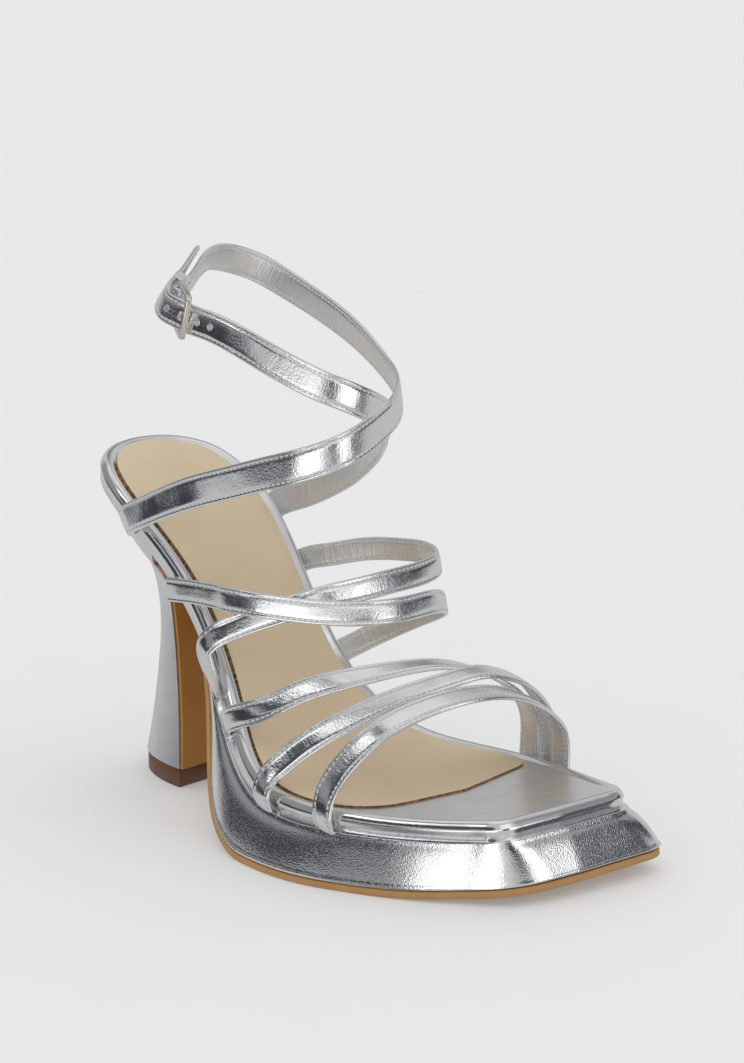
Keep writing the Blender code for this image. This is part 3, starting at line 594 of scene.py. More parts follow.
def heel_seat_ring():
    """The heel's upper edge, a little inside the footbed's wall and square across at the breast."""
    plan = grow(footbed_plan, -HEEL_SEAT_INSET)
    count = len(plan)
    halves = []
    for side in (plan[:count // 2], np.vstack([plan[:1], plan[:count // 2:-1]])):
        behind = side[side[:, 1] > HEEL_SEAT_FRONT]
        cut = np.interp(-HEEL_SEAT_FRONT, -side[:SIDE_POINTS, 1], side[:SIDE_POINTS, 0])
        halves.append(evenly(np.vstack([behind, [(cut, HEEL_SEAT_FRONT)]]), HEEL_SIDE_POINTS + 1))
    return laid_on(FOOTBED_LINE, breast_closed(*halves), FOOTBED_THICKNESS + GLUE_GAP)


heel_rings = loft([heel_ring(row) for row in HEEL_ROWS] + [heel_seat_ring()], HEEL_LEVELS)
heel = layered_piece("heel_block_wrap", heel_rings)
smooth(heel, 50)
settle(heel, "heel_block", "silver_leather", silver_leather("heel_silver", 0.36, 0.00002, 0.00010))


# Heel breast cover.  A flap of amber sole leather, pasted down the front of the heel from the end of
# the outsole to the heel's foot, inside the turned edges of the wrap.
BREAST_COVER_THICKNESS = 1.2
BREAST_COVER_INSET = 0.5
BREAST_COVER_ROWS = 40
AMBER_DARK = colour(0.35, 0.150, 0.027)
AMBER_LIGHT = colour(0.45, 0.215, 0.046)


def amber_leather():
    """Amber sole leather: satin, a little darker and redder in clouds, with fine lengthwise fibres."""
    finish = Finish("amber_leather", {"Specular IOR Level": 0.4})
    place = finish.place()
    clouds = finish.noise(place, 60.0, 3.0)
    fibres = finish.noise(finish.place((1.0, 1.0, 0.15)), 1800.0, 3.0)
    finish.drive({"Base Color": finish.blend(clouds, AMBER_DARK, AMBER_LIGHT),
                  "Roughness": 0.4 + 0.2 * fibres})
    finish.relief([(fibres, 0.00004)])
    return finish.material


def closed(name, sheet):
    """A wrapped sheet made one piece, with its two open ends filled."""
    piece = joined(name, [sheet])
    bpy.ops.object.mode_set(mode="EDIT")
    bpy.ops.mesh.select_all(action="SELECT")
    bpy.ops.mesh.fill_holes(sides=0)
    bpy.ops.mesh.normals_make_consistent(inside=False)
    bpy.ops.object.mode_set(mode="OBJECT")
    return piece


breast_corners = []
for row in HEEL_ROWS:
    half = row.half_width - BREAST_COVER_INSET
    back = row.front_y - GLUE_GAP
    front = back - BREAST_COVER_THICKNESS
    left, right = row.centre_x - half, row.centre_x + half
    middle = 0.5 * (left + right)
    corners = [(left, back), (left, front), (middle, front), (right, front), (right, back), (middle, back)]
    breast_corners.append([(x, y, row.front_z) for x, y in corners])
breast_rows = loft(breast_corners, BREAST_COVER_ROWS)
breast_cover = closed("heel_breast_flap", laid_sheet("heel_breast_flap", breast_rows, wrapped=True))
smooth(breast_cover, 40)
settle(breast_cover, "heel_breast_cover", "tan_breast", amber_leather())


# Heel top piece.  The replaceable foot of the heel: a block of brown rubber, nailed on from below and
# ground flush with the wrap, a hair inside it.
TOP_PIECE_INSET = 0.4
TOP_PIECE_ROUNDING = 0.3
TOP_PIECE_BROKEN_EDGE = 0.15
BROWN_DARK = colour(0.105, 0.042, 0.017)
BROWN_LIGHT = colour(0.165, 0.070, 0.030)


def brown_rubber():
    """Brown rubber: satin, with level scores from the grinding wheel."""
    finish = Finish("brown_rubber", {"Specular IOR Level": 0.4})
    scores = finish.noise(finish.place((60.0, 60.0, 3500.0)), 1.0, 3.0)
    mottle = finish.noise(finish.place(), 150.0, 3.0)
    finish.drive({"Base Color": finish.blend(mottle, BROWN_DARK, BROWN_LIGHT),
                  "Roughness": 0.38 + 0.2 * scores})
    finish.relief([(scores, 0.00008)])
    return finish.material


top_piece_rings = []
for z, inset in ((0.0, TOP_PIECE_ROUNDING), (TOP_PIECE_ROUNDING, 0.0),
                 (TOP_PIECE_HEIGHT - TOP_PIECE_BROKEN_EDGE, 0.0), (TOP_PIECE_HEIGHT, TOP_PIECE_BROKEN_EDGE)):
    top_piece_rings.append(heel_ring(HEEL_ROWS[0]._replace(front_z=z, back_z=z), TOP_PIECE_INSET + inset))
top_piece = layered_piece("heel_foot_rubber", top_piece_rings)
smooth(top_piece, 50)
settle(top_piece, "heel_top_piece", "brown_top_piece", brown_rubber())


# Toe straps.  Three straps of silver leather, folded round a tape and lined with grey leather, with a
# row of stitches along each edge.  They fan out from the inner side, the middle one on top, and
# their ends go down over the roll to be lasted between the footbed and the platform.
STRAP_WIDTH = 8.2
STRAP_THICKNESS = 1.8
STRAP_STEP = 1.3
STRAP_SMOOTHING = 4
REAR_TOE_ROUTE = [(-33.2, 26.4, 34.0), (-33.9, 22.4, 36.8), (-35, 18.2, 39.6), (-34.6, 12.2, 42.5),
                  (-31, 4.4, 46), (-24, -5, 52), (-16, -13.5, 55.6), (-7, -20.7, 57.8), (2, -27.6, 59.4),
                  (12, -34.1, 59.4), (20, -38.6, 57), (29, -42.2, 52.3), (37.2, -43.4, 45.3),
                  (42, -43.4, 37.5), (43.2, -43, 30), (42.8, -42.6, 17.0)]
MIDDLE_TOE_ROUTE = [(-46.4, -10.2, 17.6), (-46.8, -10.2, 21.2), (-46.9, -10.3, 24.8), (-45.5, -10.8, 28.8),
                    (-42, -13, 33), (-36.2, -17.6, 39), (-30, -23.4, 44.4), (-23, -28.8, 48.8),
                    (-14, -35.6, 53.6), (-5, -42.2, 57.4), (5, -46.8, 59.4), (14, -49.4, 59.4),
                    (23, -50.7, 57), (32, -50.7, 52), (40, -49.8, 44.4), (43.8, -49.4, 37.5),
                    (44.6, -49.3, 30), (43.4, -49.3, 17.0)]
FRONT_TOE_ROUTE = [(-44.4, -36.2, 16.6), (-44.8, -36, 20), (-44.9, -36, 24), (-43.3, -36, 29.8),
                   (-39.6, -37.5, 36.3), (-35.6, -40.3, 42), (-30, -43.9, 47.8), (-22, -47.5, 52.2),
                   (-14, -51.2, 55), (-4, -55, 56.8), (8, -57.4, 56.2), (19, -57.9, 53), (29, -57.5, 48),
                   (37.2, -56.7, 42), (42, -56.2, 36), (43.4, -56, 30), (42.4, -56.2, 17.0)]
TOE_CORE = [(2, -80, 12), (-2, 0, 41)]
# Widths and leans in degrees as (share of the run, value) pairs.
PLAIN_WIDTH = [(0.0, STRAP_WIDTH), (1.0, STRAP_WIDTH)]
MIDDLE_TOE_WIDTH = [(0.0, 7.0), (0.04, 7.6), (0.14, STRAP_WIDTH), (1.0, STRAP_WIDTH)]
UPRIGHT = [(0.0, 0.0), (1.0, 0.0)]
REAR_TOE_LEAN = [(0.0, -9.0), (0.12, -8.0), (0.22, 0.0), (1.0, 0.0)]
# Half of a strap's section as (distance from its edge, height) pairs: the folded face with the dip
# that the stitches pull in it, then the lining, which is set back from the fold.
FACE_PROFILE = [(3.0, 0.95), (2.2, 0.93), (1.7, 0.84), (1.35, 0.56), (1.05, 0.68), (0.7, 0.80), (0.3, 0.66),
                (0.08, 0.38), (0.0, 0.05)]
LINING_PROFILE = [(0.1, -0.40), (0.4, -0.60), (0.9, -0.72), (1.35, -0.54), (1.7, -0.76), (2.2, -0.84),
                  (3.0, -0.87)]
FACE_CROWN = 0.95
LINING_CROWN = -0.88
STITCH_INSET = 1.35
STITCH_FACE = 0.70
STITCH_LINING = -0.66
STITCH_PITCH = 1.8
STITCH_RADIUS = 0.25
STITCH_LENGTH = 0.75
STITCH_SIDES = 6
STITCH_END_FACING = 0.9
STITCH_CAP = 0.2
STITCH_TAPER = 0.45
STITCH_START = 1.0
THREAD_DARK = colour(0.46, 0.47, 0.49)
THREAD_LIGHT = colour(0.80, 0.81, 0.82)
LINING_DARK = colour(0.66, 0.655, 0.65)
LINING_LIGHT = colour(0.93, 0.925, 0.92)
# Where one strap lies over another: points compared across each, how near they count, and how the
# rise of the upper one runs out.
CROSSING_POINTS = 7
CROSSING_BESIDE = 1.6
CROSSING_HEIGHT = 2.6
CROSSING_GAP = 0.1
CROSSING_REACH = 4
CROSSING_SMOOTHING = 12
CORE_POINTS = 400
# How far the ends are pressed in under the footbed's edge: (depth below its upper side, inwards) pairs.
TUCK = [(2.0, 0.0), (4.5, 0.5), (6.4, 1.2), (7.2, 1.8), (9.0, 3.4), (20.0, 6.0)]
TUCK_REACH = (-3.0, 5.0)
TUCK_SPAN = (7.0, 11.0)

Strap = namedtuple("Strap", "points across out widths")


def unit(vectors):
    """Vectors at length one."""
    return vectors / np.linalg.norm(vectors, axis=-1, keepdims=True)


def eased(values, times):
    """Values along a strap, averaged with their neighbours a number of times; the ends stay."""
    for _ in range(times):
        values = np.concatenate([values[:1], (values[:-2] + 2 * values[1:-1] + values[2:]) / 4, values[-1:]])
    return values


def strap_on(route, core, lean, widths):
    """A strap along its route, facing away from a core line and tipped upwards by a lean."""
    curve = spline(route)
    length = np.linalg.norm(np.diff(curve, axis=0), axis=1).sum()
    points = evenly(curve, int(length / STRAP_STEP) + 1)
    inside = evenly(np.array(core, float), CORE_POINTS)
    nearest = np.linalg.norm(points[:, None] - inside[None], axis=2).argmin(axis=1)
    out = unit(points - inside[nearest])
    shares, degrees = np.array(lean).T
    tip = np.radians(np.interp(np.linspace(0.0, 1.0, len(points)), shares, degrees))
    out = eased(out + np.outer(np.tan(tip), (0.0, 0.0, 1.0)), STRAP_SMOOTHING)
    return framed(points, out, np.interp(np.linspace(0.0, 1.0, len(points)), *np.array(widths).T))


def framed(points, out, widths):
    """A strap with its face directions made square to its run."""
    along = unit(np.gradient(points, axis=0))
    out = unit(out - (out * along).sum(axis=1)[:, None] * along)
    return Strap(points, np.cross(out, along), out, widths)


def crosswise(strap):
    """Points across a strap, from edge to edge, at each step of its run."""
    shares = np.linspace(-0.5, 0.5, CROSSING_POINTS)
    return strap.points[:, None] + strap.across[:, None] * (strap.widths[:, None] * shares)[..., None]


def lifted(upper, lower):
    """The upper strap raised where it lies over the lower one."""
    under = crosswise(lower).reshape(-1, 3)
    missing = np.zeros(len(upper.points))
    for i, row in enumerate(crosswise(upper)):
        apart = row[:, None] - under[None]
        height = apart @ upper.out[i]
        beside = np.linalg.norm(apart - height[..., None] * upper.out[i], axis=2)
        near = (beside < CROSSING_BESIDE) & (np.abs(height) < CROSSING_HEIGHT)
        if near.any():
            missing[i] = max(0.0, STRAP_THICKNESS + CROSSING_GAP - height[near].min())
    spread = []
    for i in range(len(missing)):
        spread.append(missing[max(0, i - CROSSING_REACH):i + CROSSING_REACH + 1].max())
    rise = eased(np.array(spread), CROSSING_SMOOTHING)
    return framed(upper.points + upper.out * rise[:, None], upper.out, upper.widths)


def strap_outline(width):
    """A closed section: the face from one edge to the other, then the lining back."""
    half = width / 2
    face = [(half - d, n) for d, n in FACE_PROFILE]
    lining = [(half - d, n) for d, n in LINING_PROFILE]
    mirrored_face = [(-v, n) for v, n in face[::-1]]
    mirrored_lining = [(-v, n) for v, n in lining]
    upper = mirrored_face + [(0.0, FACE_CROWN)] + face
    return upper + lining + [(0.0, LINING_CROWN)] + mirrored_lining[::-1]


def rounded(piece):
    """The active piece made softer by one round of subdivision."""
    rounding = piece.modifiers.new("rounding", "SUBSURF")
    rounding.levels = rounding.render_levels = 1
    bpy.ops.object.modifier_apply(modifier=rounding.name)


def strap_piece(name, strap, materials):
    """A strap: a sheet wrapped round its section along the run, with the lining's faces marked."""
    rows = []
    for point, side, outward, width in zip(*strap):
        rows.append([point + side * v + outward * n for v, n in strap_outline(width)])
    rows = np.array(rows)
    sheet = laid_sheet(name, rows, wrapped=True)
    around = rows.shape[1]
    first_lining = 2 * len(FACE_PROFILE) + 1
    lining = np.zeros((rows.shape[0] - 1, around), np.int32)
    lining[:, first_lining:-1] = 1
    sheet.data.polygons.foreach_set("material_index", lining.ravel())
    measured_uv(sheet, rows)
    piece = closed(name, sheet)
    rounded(piece)
    for material in materials:
        piece.data.materials.append(material)
    bpy.ops.object.shade_smooth()
    return piece


def measured_uv(sheet, rows):
    """The grid's own UV map, stretched to millimetres across and along the strap."""
    around = np.linalg.norm(np.diff(np.concatenate([rows[0], rows[0][:1]]), axis=0), axis=1).sum()
    length = np.linalg.norm(np.diff(rows[:, 0], axis=0), axis=1).sum()
    layer = sheet.data.uv_layers.active.data
    uv = np.zeros(2 * len(layer), np.float32)
    layer.foreach_get("uv", uv)
    layer.foreach_set("uv", (uv.reshape(-1, 2) * (around, length)).astype(np.float32).ravel())


def tucked(piece, ends):
    """The piece pressed in near its ends, the more the deeper it lies below the footbed's roll."""
    places = np.zeros(3 * len(piece.data.vertices), np.float32)
    piece.data.vertices.foreach_get("co", places)
    places = places.reshape(-1, 3) / MM + DRAWING_ORIGIN
    line = spline(FOOTBED_LINE)
    slope = np.arctan(np.gradient(line[:, 1], line[:, 0]))
    apart = places[:, None, 1:] - line[None]
    nearest = np.linalg.norm(apart, axis=2).argmin(axis=1)
    apart = apart[np.arange(len(places)), nearest]
    depth = apart[:, 0] * np.sin(slope[nearest]) - apart[:, 1] * np.cos(slope[nearest])
    plan = np.stack([places[:, 0], line[nearest, 0]], axis=1)
    edge = np.linalg.norm(plan[:, None] - footbed_plan[None], axis=2).argmin(axis=1)
    outward = (grow(footbed_plan, 1.0) - footbed_plan)[edge]
    proud = ((plan - footbed_plan[edge]) * outward).sum(axis=1)
    push = np.interp(depth, *np.array(TUCK).T) * ((proud > TUCK_REACH[0]) & (proud < TUCK_REACH[1]))
    to_end = np.linalg.norm(places[:, None] - np.array(ends)[None], axis=2).min(axis=1)
    push *= np.interp(to_end, TUCK_SPAN, (1.0, 0.0))
    places[:, :2] -= push[:, None] * outward
    piece.data.vertices.foreach_set("co", to_metres(places).astype(np.float32).ravel())
    piece.data.update()


def strap_silver():
    """The straps' foil leather: a mirror with faint crinkles across the run and grain in patches."""
    finish = Finish("strap_silver", {"Metallic": 1.0})
    crinkles = finish.noise(finish.place((0.10, 0.55, 1.0), "UV"), 1.0, 3.0, 0.5)
    place = finish.place()
    warp = finish.noise(place, 110.0, 1.0)
    grain = finish.noise(place, 1350.0, 3.0, 0.6)
    patches = 0.45 + finish.ease(finish.noise(place, 75.0, 1.0), 0.38, 0.60)
    finish.drive({"Base Color": finish.blend(grain, SILVER_DARK, SILVER_LIGHT),
                  "Roughness": 0.06 + 0.12 * grain})
    finish.relief([(warp, 0.00014), (crinkles, 0.00005), (grain * patches, 0.00008)])
    return finish.material


def strap_lining():
    """The straps' grey lining: a silvery sheen, ribbed across the run where the strap bends inwards."""
    finish = Finish("strap_lining", {"Metallic": 0.85})
    ribs = finish.noise(finish.place((0.05, 1.3, 1.0), "UV"), 1.0, 3.0, 0.6)
    place = finish.place()
    grain = finish.noise(place, 1600.0, 3.0)
    finish.drive({"Base Color": finish.blend(ribs, LINING_DARK, LINING_LIGHT),
                  "Roughness": 0.24 + 0.16 * grain})
    finish.relief([(ribs, 0.00028), (grain, 0.00005)])
    return finish.material


def stitch_thread():
    """Pale grey polyester thread: a soft sheen over its twist."""
    finish = Finish("stitch_thread", {"Specular IOR Level": 0.6})
    twist = finish.noise(finish.place(), 5200.0, 2.0)
    finish.drive({"Base Color": finish.blend(twist, THREAD_DARK, THREAD_LIGHT),
                  "Roughness": 0.3 + 0.2 * twist})
    finish.relief([(twist, 0.00008)])
    return finish.material


def turned_to(first, second, third, place):
    """A matrix that turns X, Y and Z to three directions and moves the origin to a place in metres."""
    matrix = np.eye(4)
    matrix[:3, 0], matrix[:3, 1], matrix[:3, 2] = first, second, third
    matrix[:3, 3] = place
    return matrix.T


def stitch_rows(name, strap, unsewn):
    """Stitches along both edges, on the face and on the lining, copied from one that is modelled here."""
    bpy.ops.object.select_all(action="DESELECT")
    bpy.ops.mesh.primitive_cylinder_add(vertices=STITCH_SIDES, radius=STITCH_RADIUS * MM,
                                        depth=STITCH_LENGTH * MM, rotation=(0.0, math.pi / 2, 0.0))
    first = bpy.context.object
    bpy.ops.object.transform_apply()
    bpy.ops.object.mode_set(mode="EDIT")
    bpy.ops.mesh.select_mode(type="FACE")
    bpy.ops.mesh.select_all(action="DESELECT")
    bpy.ops.object.mode_set(mode="OBJECT")
    for face in first.data.polygons:
        face.select = abs(face.normal.x) > STITCH_END_FACING
    bpy.ops.object.mode_set(mode="EDIT")
    bpy.ops.mesh.extrude_faces_move(TRANSFORM_OT_shrink_fatten={"value": STITCH_CAP * MM})
    bpy.ops.transform.resize(value=(1.0, STITCH_TAPER, STITCH_TAPER))
    bpy.ops.object.mode_set(mode="OBJECT")
    steps = np.linalg.norm(np.diff(strap.points, axis=0), axis=1)
    reached = np.concatenate([[0.0], np.cumsum(steps)])
    copies = [first]
    for at in np.arange(STITCH_START, reached[-1] - unsewn, STITCH_PITCH):
        here = [[np.interp(at, reached, column) for column in rows.T] for rows in strap[:3]]
        point, side, outward = np.array(here)
        width = np.interp(at, reached, strap.widths)
        along = np.cross(side, outward)
        for edge in (-1, 1):
            for height in (STITCH_FACE, STITCH_LINING):
                place = point + side * edge * (width / 2 - STITCH_INSET) + outward * height
                copy = bpy.data.objects.new(name, first.data.copy())
                bpy.context.collection.objects.link(copy)
                copy.matrix_world = turned_to(along, side, outward, to_metres(place))
                copies.append(copy)
    bpy.ops.object.select_all(action="DESELECT")
    for copy in copies[1:]:
        copy.select_set(True)
    bpy.data.objects.remove(first)
    bpy.context.view_layer.objects.active = copies[1]
    bpy.ops.object.join()
    bpy.ops.object.transform_apply(location=True, rotation=True, scale=True)
    row = bpy.context.object
    row.name = row.data.name = name
    row.data.materials.append(thread)
    bpy.ops.object.shade_smooth()
    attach(row, "root")
    return row


def make_strap(name, node, strap, tucked_ends=(0, -1), unsewn=STITCH_START):
    """A sewn strap: its leather, which stands for a node, and its stitches, with the ends tucked in."""
    piece = strap_piece(name, strap, strap_materials)
    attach(piece, "root")
    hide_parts(node)
    ends = [strap.points[end] for end in tucked_ends]
    tucked(piece, ends)
    tucked(stitch_rows(name + "_stitches", strap, unsewn), ends)
    return piece


strap_materials = (strap_silver(), strap_lining())
thread = stitch_thread()
middle_toe = strap_on(MIDDLE_TOE_ROUTE, TOE_CORE, UPRIGHT, MIDDLE_TOE_WIDTH)
rear_toe = strap_on(REAR_TOE_ROUTE, TOE_CORE, REAR_TOE_LEAN, PLAIN_WIDTH)
front_toe = strap_on(FRONT_TOE_ROUTE, TOE_CORE, UPRIGHT, PLAIN_WIDTH)
middle_toe = lifted(lifted(middle_toe, rear_toe), front_toe)
make_strap("toe_strap_middle", "toe_straps", middle_toe)
make_strap("toe_strap_rear", "toe_straps", rear_toe)
make_strap("toe_strap_front", "toe_straps", front_toe)


# Instep straps.  Two more straps of the same make, which cross over the instep, the rear one on top,
# and are lasted under the footbed on both sides of the arch.
REAR_INSTEP_ROUTE = [(-27.0, 57.0, 74.7), (-27.6, 51, 75.6), (-27.3, 45.3, 76.2), (-25.6, 34.6, 76.4),
                     (-22, 20.9, 76.5), (-17.2, 9.4, 75.4), (-9.5, 0.6, 74.2), (0, -7, 73.4),
                     (10, -11.3, 73.2), (20, -12.4, 73), (32, -10.6, 72), (41, -5.6, 68.4), (43.4, 5, 63),
                     (40.4, 19.6, 55.2), (35, 27, 50.4), (28.4, 32.6, 46)]
FRONT_INSTEP_ROUTE = [(-30.4, 31.6, 45.0), (-31.6, 30.2, 50), (-33.2, 30.4, 56), (-34, 30.6, 61),
                      (-32.4, 27.6, 65.2), (-28.5, 23.6, 68), (-24, 19.4, 70.4), (-16.2, 10.9, 74.4),
                      (-8, 3, 78), (0, -0.6, 79.2), (8, -3, 80), (18, -4.8, 80.7), (29, -5.4, 81),
                      (40.4, -3.2, 82), (46, 5.4, 82.6), (45.6, 18.6, 82), (39.4, 33.5, 80.4),
                      (34, 42, 78.2), (30.6, 50.6, 75.8), (29.8, 55.2, 73.2)]
INSTEP_CORE = [(8, 20, 40), (8, 32, 85)]
REAR_INSTEP_LEAN = [(0.0, 6.0), (0.2, 6.5), (0.32, 0.0), (1.0, 0.0)]

rear_instep = strap_on(REAR_INSTEP_ROUTE, INSTEP_CORE, REAR_INSTEP_LEAN, PLAIN_WIDTH)
front_instep = strap_on(FRONT_INSTEP_ROUTE, INSTEP_CORE, UPRIGHT, PLAIN_WIDTH)
rear_instep = lifted(rear_instep, front_instep)
make_strap("instep_strap_rear", "instep_straps", rear_instep, tucked_ends=(-1,))
make_strap("instep_strap_front", "instep_straps", front_instep)


# Ankle straps.  Two wider straps from the sides of the seat.  They cross in front of the ankle, the
# outer one on top; it goes round the leg and ends in a fold that holds the buckle, and the inner one
# is drawn through the buckle, with its holes, and turned back along it.
ANKLE_STRAP_WIDTH = 10.8
ANKLE_TAIL_WIDTH = 9.2
ANKLE_SHOULDER_WIDTH = 7.6
ANKLE_TIP_WIDTH = 4.0
OUTER_ANKLE_WIDTH = [(0.0, ANKLE_STRAP_WIDTH), (1.0, ANKLE_STRAP_WIDTH)]
INNER_ANKLE_WIDTH = [(0.0, ANKLE_STRAP_WIDTH), (0.975, ANKLE_TAIL_WIDTH), (0.99, ANKLE_SHOULDER_WIDTH),
                     (1.0, ANKLE_TIP_WIDTH)]
OUTER_ANKLE_ROUTE = [(-30.8, 76.2, 94.4), (-31.2, 73, 96.3), (-32.2, 65.7, 99.7), (-33.6, 50.9, 106.2),
                     (-33.3, 34, 113), (-31, 18.5, 118.2), (-28, 4.8, 122.8), (-22.6, -6.4, 126.6),
                     (-14.2, -13.2, 130.2), (-5.5, -14.4, 133), (4, -13.2, 136.2), (13.8, -9.6, 138.9),
                     (23, -2.3, 142.5), (31, 10.2, 146.4), (35, 23.2, 152.2), (37, 39, 159.2),
                     (37, 53.3, 164.8), (35, 65.6, 170.2), (29.5, 73.8, 175.4), (20, 77.4, 179),
                     (9, 72.6, 180.6), (-4, 63.8, 179.6), (-14, 56, 177.6), (-25, 48.6, 175.4)]
INNER_ANKLE_ROUTE = [(32.2, 70.2, 90), (32.8, 66.4, 93), (35, 56.2, 97.4), (36.6, 44.7, 102.6),
                     (35.6, 30.3, 110.2), (31.8, 20, 116.4), (24.5, 6.8, 124.4), (15.4, -5.0, 132.2),
                     (5.5, -12.0, 139.4), (-2.5, -14.2, 143.4), (-10, -13.4, 147), (-18, -9.3, 151),
                     (-24, -2.6, 155.4), (-29, 5.2, 160.2), (-33, 13.7, 164.9), (-35.4, 25, 168.4),
                     (-36.6, 31, 169.6), (-37.6, 37.2, 171.4), (-37, 43.5, 173.2), (-33.2, 47.9, 175.8),
                     (-26.2, 51.2, 178), (-18.6, 55.9, 180), (-9.8, 62.6, 182.2), (-2, 68.4, 184.2)]
ANKLE_CORE = [(-1, 90, 86), (-1, 66, 100), (1, 42, 126), (2, 34, 190)]
OUTER_ANKLE_LEAN = [(0.0, 10.0), (0.05, 18.0), (0.09, 22.0), (0.135, 22.5), (0.19, 15.0), (0.25, 17.5),
                    (0.4, 6.0), (1.0, 18.0)]
INNER_ANKLE_LEAN = [(0.0, 0.0), (0.74, 7.0), (0.84, 16.0), (1.0, 32.0)]
BUCKLE_FRONT = np.array([-39.3, 30.4, 170.4])
BUCKLE_REAR = np.array([-32.1, 42.2, 173.3])
BUCKLE_DOWN = np.array([0.04, 0.36, -0.93])
BUCKLE_BAR = 1.9
# The fold round the rear bar: its turn in degrees, then the flap sewn back under the strap.
FOLD_TURN = (-20.0, 160.0)
FOLD_POINTS = 19
FLAP_START = 1.0
FLAP_END = 5.0
FLAP_POINTS = 5
FLAP_LEAN = 0.1
FOLD_RUN_SMOOTHING = 2
FOLD_FACE_SMOOTHING = 3
FOLD_UNSEWN = 13.0
# Spare holes on both sides of the one that the pin goes through.
HOLE_PLACES = [(-34.9, 22.6, 167.6), (-36.0, 28.2, 169.0), (-37.5, 40.2, 172.2)]
HOLE_RADIUS = 0.7
HOLE_RIM = 0.28
HOLE_RIM_HEIGHT = 0.86
HOLE_SIDES = 20
HOLE_RIM_SIDES = 6

buckle_back = unit(BUCKLE_REAR - BUCKLE_FRONT)
buckle_down = unit(BUCKLE_DOWN - (BUCKLE_DOWN @ buckle_back) * buckle_back)
buckle_out = np.cross(buckle_back, buckle_down)


def with_fold(strap):
    """The outer strap with its end carried over the buckle's rear bar, round it and back under itself."""
    reach = BUCKLE_BAR / 2 + GLUE_GAP + STRAP_THICKNESS / 2
    turns = np.radians(np.linspace(*FOLD_TURN, FOLD_POINTS))
    ring = reach * (np.outer(np.cos(turns), buckle_out) - np.outer(np.sin(turns), buckle_back))
    flap_run = unit(buckle_back - FLAP_LEAN * buckle_out)
    flap = ring[-1] + np.outer(np.linspace(FLAP_START, FLAP_END, FLAP_POINTS), flap_run)
    fold = BUCKLE_REAR + np.vstack([ring, flap])
    along = unit(np.gradient(fold, axis=0))
    out = unit(np.cross(along, np.tile(-buckle_down, (len(fold), 1))))
    points = np.vstack([strap.points, fold])
    length = np.linalg.norm(np.diff(points, axis=0), axis=1).sum()
    run = eased(points, FOLD_RUN_SMOOTHING)
    face = eased(np.vstack([strap.out, out]), FOLD_FACE_SMOOTHING)
    both = evenly(np.hstack([run, face]), int(length / STRAP_STEP) + 1)
    return framed(both[:, :3], both[:, 3:], np.full(len(both), ANKLE_STRAP_WIDTH))


inner_ankle = strap_on(INNER_ANKLE_ROUTE, ANKLE_CORE, INNER_ANKLE_LEAN, INNER_ANKLE_WIDTH)
outer_ankle = with_fold(strap_on(OUTER_ANKLE_ROUTE, ANKLE_CORE, OUTER_ANKLE_LEAN, OUTER_ANKLE_WIDTH))
make_strap("ankle_strap_outer", "ankle_straps", outer_ankle, unsewn=FOLD_UNSEWN)
inner_piece = make_strap("ankle_strap_inner", "ankle_straps", inner_ankle)
rims = []
for place in HOLE_PLACES:
    nearest = int(np.argmin(np.linalg.norm(inner_ankle.points - np.array(place), axis=1)))
    spot, side, outward = inner_ankle.points[nearest], inner_ankle.across[nearest], inner_ankle.out[nearest]
    along = np.cross(side, outward)
    bpy.ops.object.select_all(action="DESELECT")
    bpy.ops.mesh.primitive_cylinder_add(vertices=HOLE_SIDES, radius=HOLE_RADIUS * MM,
                                        depth=3 * STRAP_THICKNESS * MM)
    punch = bpy.context.object
    punch.matrix_world = turned_to(along, side, outward, to_metres(spot))
    bpy.context.view_layer.objects.active = inner_piece
    hole = inner_piece.modifiers.new("hole", "BOOLEAN")
    hole.operation = "DIFFERENCE"
    hole.solver = "EXACT"
    hole.object = punch
    bpy.ops.object.modifier_apply(modifier=hole.name)
    bpy.data.objects.remove(punch)
    bpy.ops.mesh.primitive_torus_add(major_radius=(HOLE_RADIUS + HOLE_RIM) * MM, minor_radius=HOLE_RIM * MM,
                                     major_segments=HOLE_SIDES, minor_segments=HOLE_RIM_SIDES)
    rim = bpy.context.object
    rim.matrix_world = turned_to(along, side, outward, to_metres(spot + outward * HOLE_RIM_HEIGHT))
    rims.append(rim)
smooth(inner_piece, 50)
hole_rims = joined("ankle_strap_hole_rims", rims)
bpy.ops.object.transform_apply(location=True, rotation=True, scale=True)
bpy.ops.object.shade_smooth()
hole_rims.data.materials.append(strap_materials[0])
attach(hole_rims, "root")


# Buckle frame.  A rectangular frame cast in nickel-plated metal with flat faces and broken edges, held
# by the fold of the outer strap round its rear bar.
BUCKLE_WIDTH = 15.0
BUCKLE_CORNER = 2.2
BUCKLE_CORNER_STEPS = 5
BUCKLE_EDGE = 0.4
BUCKLE_EDGE_STEPS = 3
NICKEL_DARK = colour(0.70, 0.665, 0.59)
NICKEL_LIGHT = colour(0.82, 0.79, 0.73)


def nickel():
    """Polished pale nickel: warm, with faint rubbing marks."""
    finish = Finish("pale_nickel", {"Metallic": 1.0})
    rubbing = finish.noise(finish.place((1.0, 1.0, 4.0)), 900.0, 3.0)
    finish.drive({"Base Color": finish.blend(rubbing, NICKEL_DARK, NICKEL_LIGHT),
                  "Roughness": 0.14 + 0.14 * rubbing})
    finish.relief([(finish.noise(finish.place(), 300.0), 0.00008)])
    return finish.material


def set_in_buckle(piece):
    """A piece modelled flat, its length along X and its bars along Y, turned into the buckle's place."""
    centre = (BUCKLE_FRONT + BUCKLE_REAR) / 2
    piece.matrix_world = turned_to(buckle_back, buckle_down, buckle_out, to_metres(centre))
    bpy.ops.object.select_all(action="DESELECT")
    piece.select_set(True)
    bpy.context.view_layer.objects.active = piece
    bpy.ops.object.transform_apply(location=True, rotation=True, scale=True)


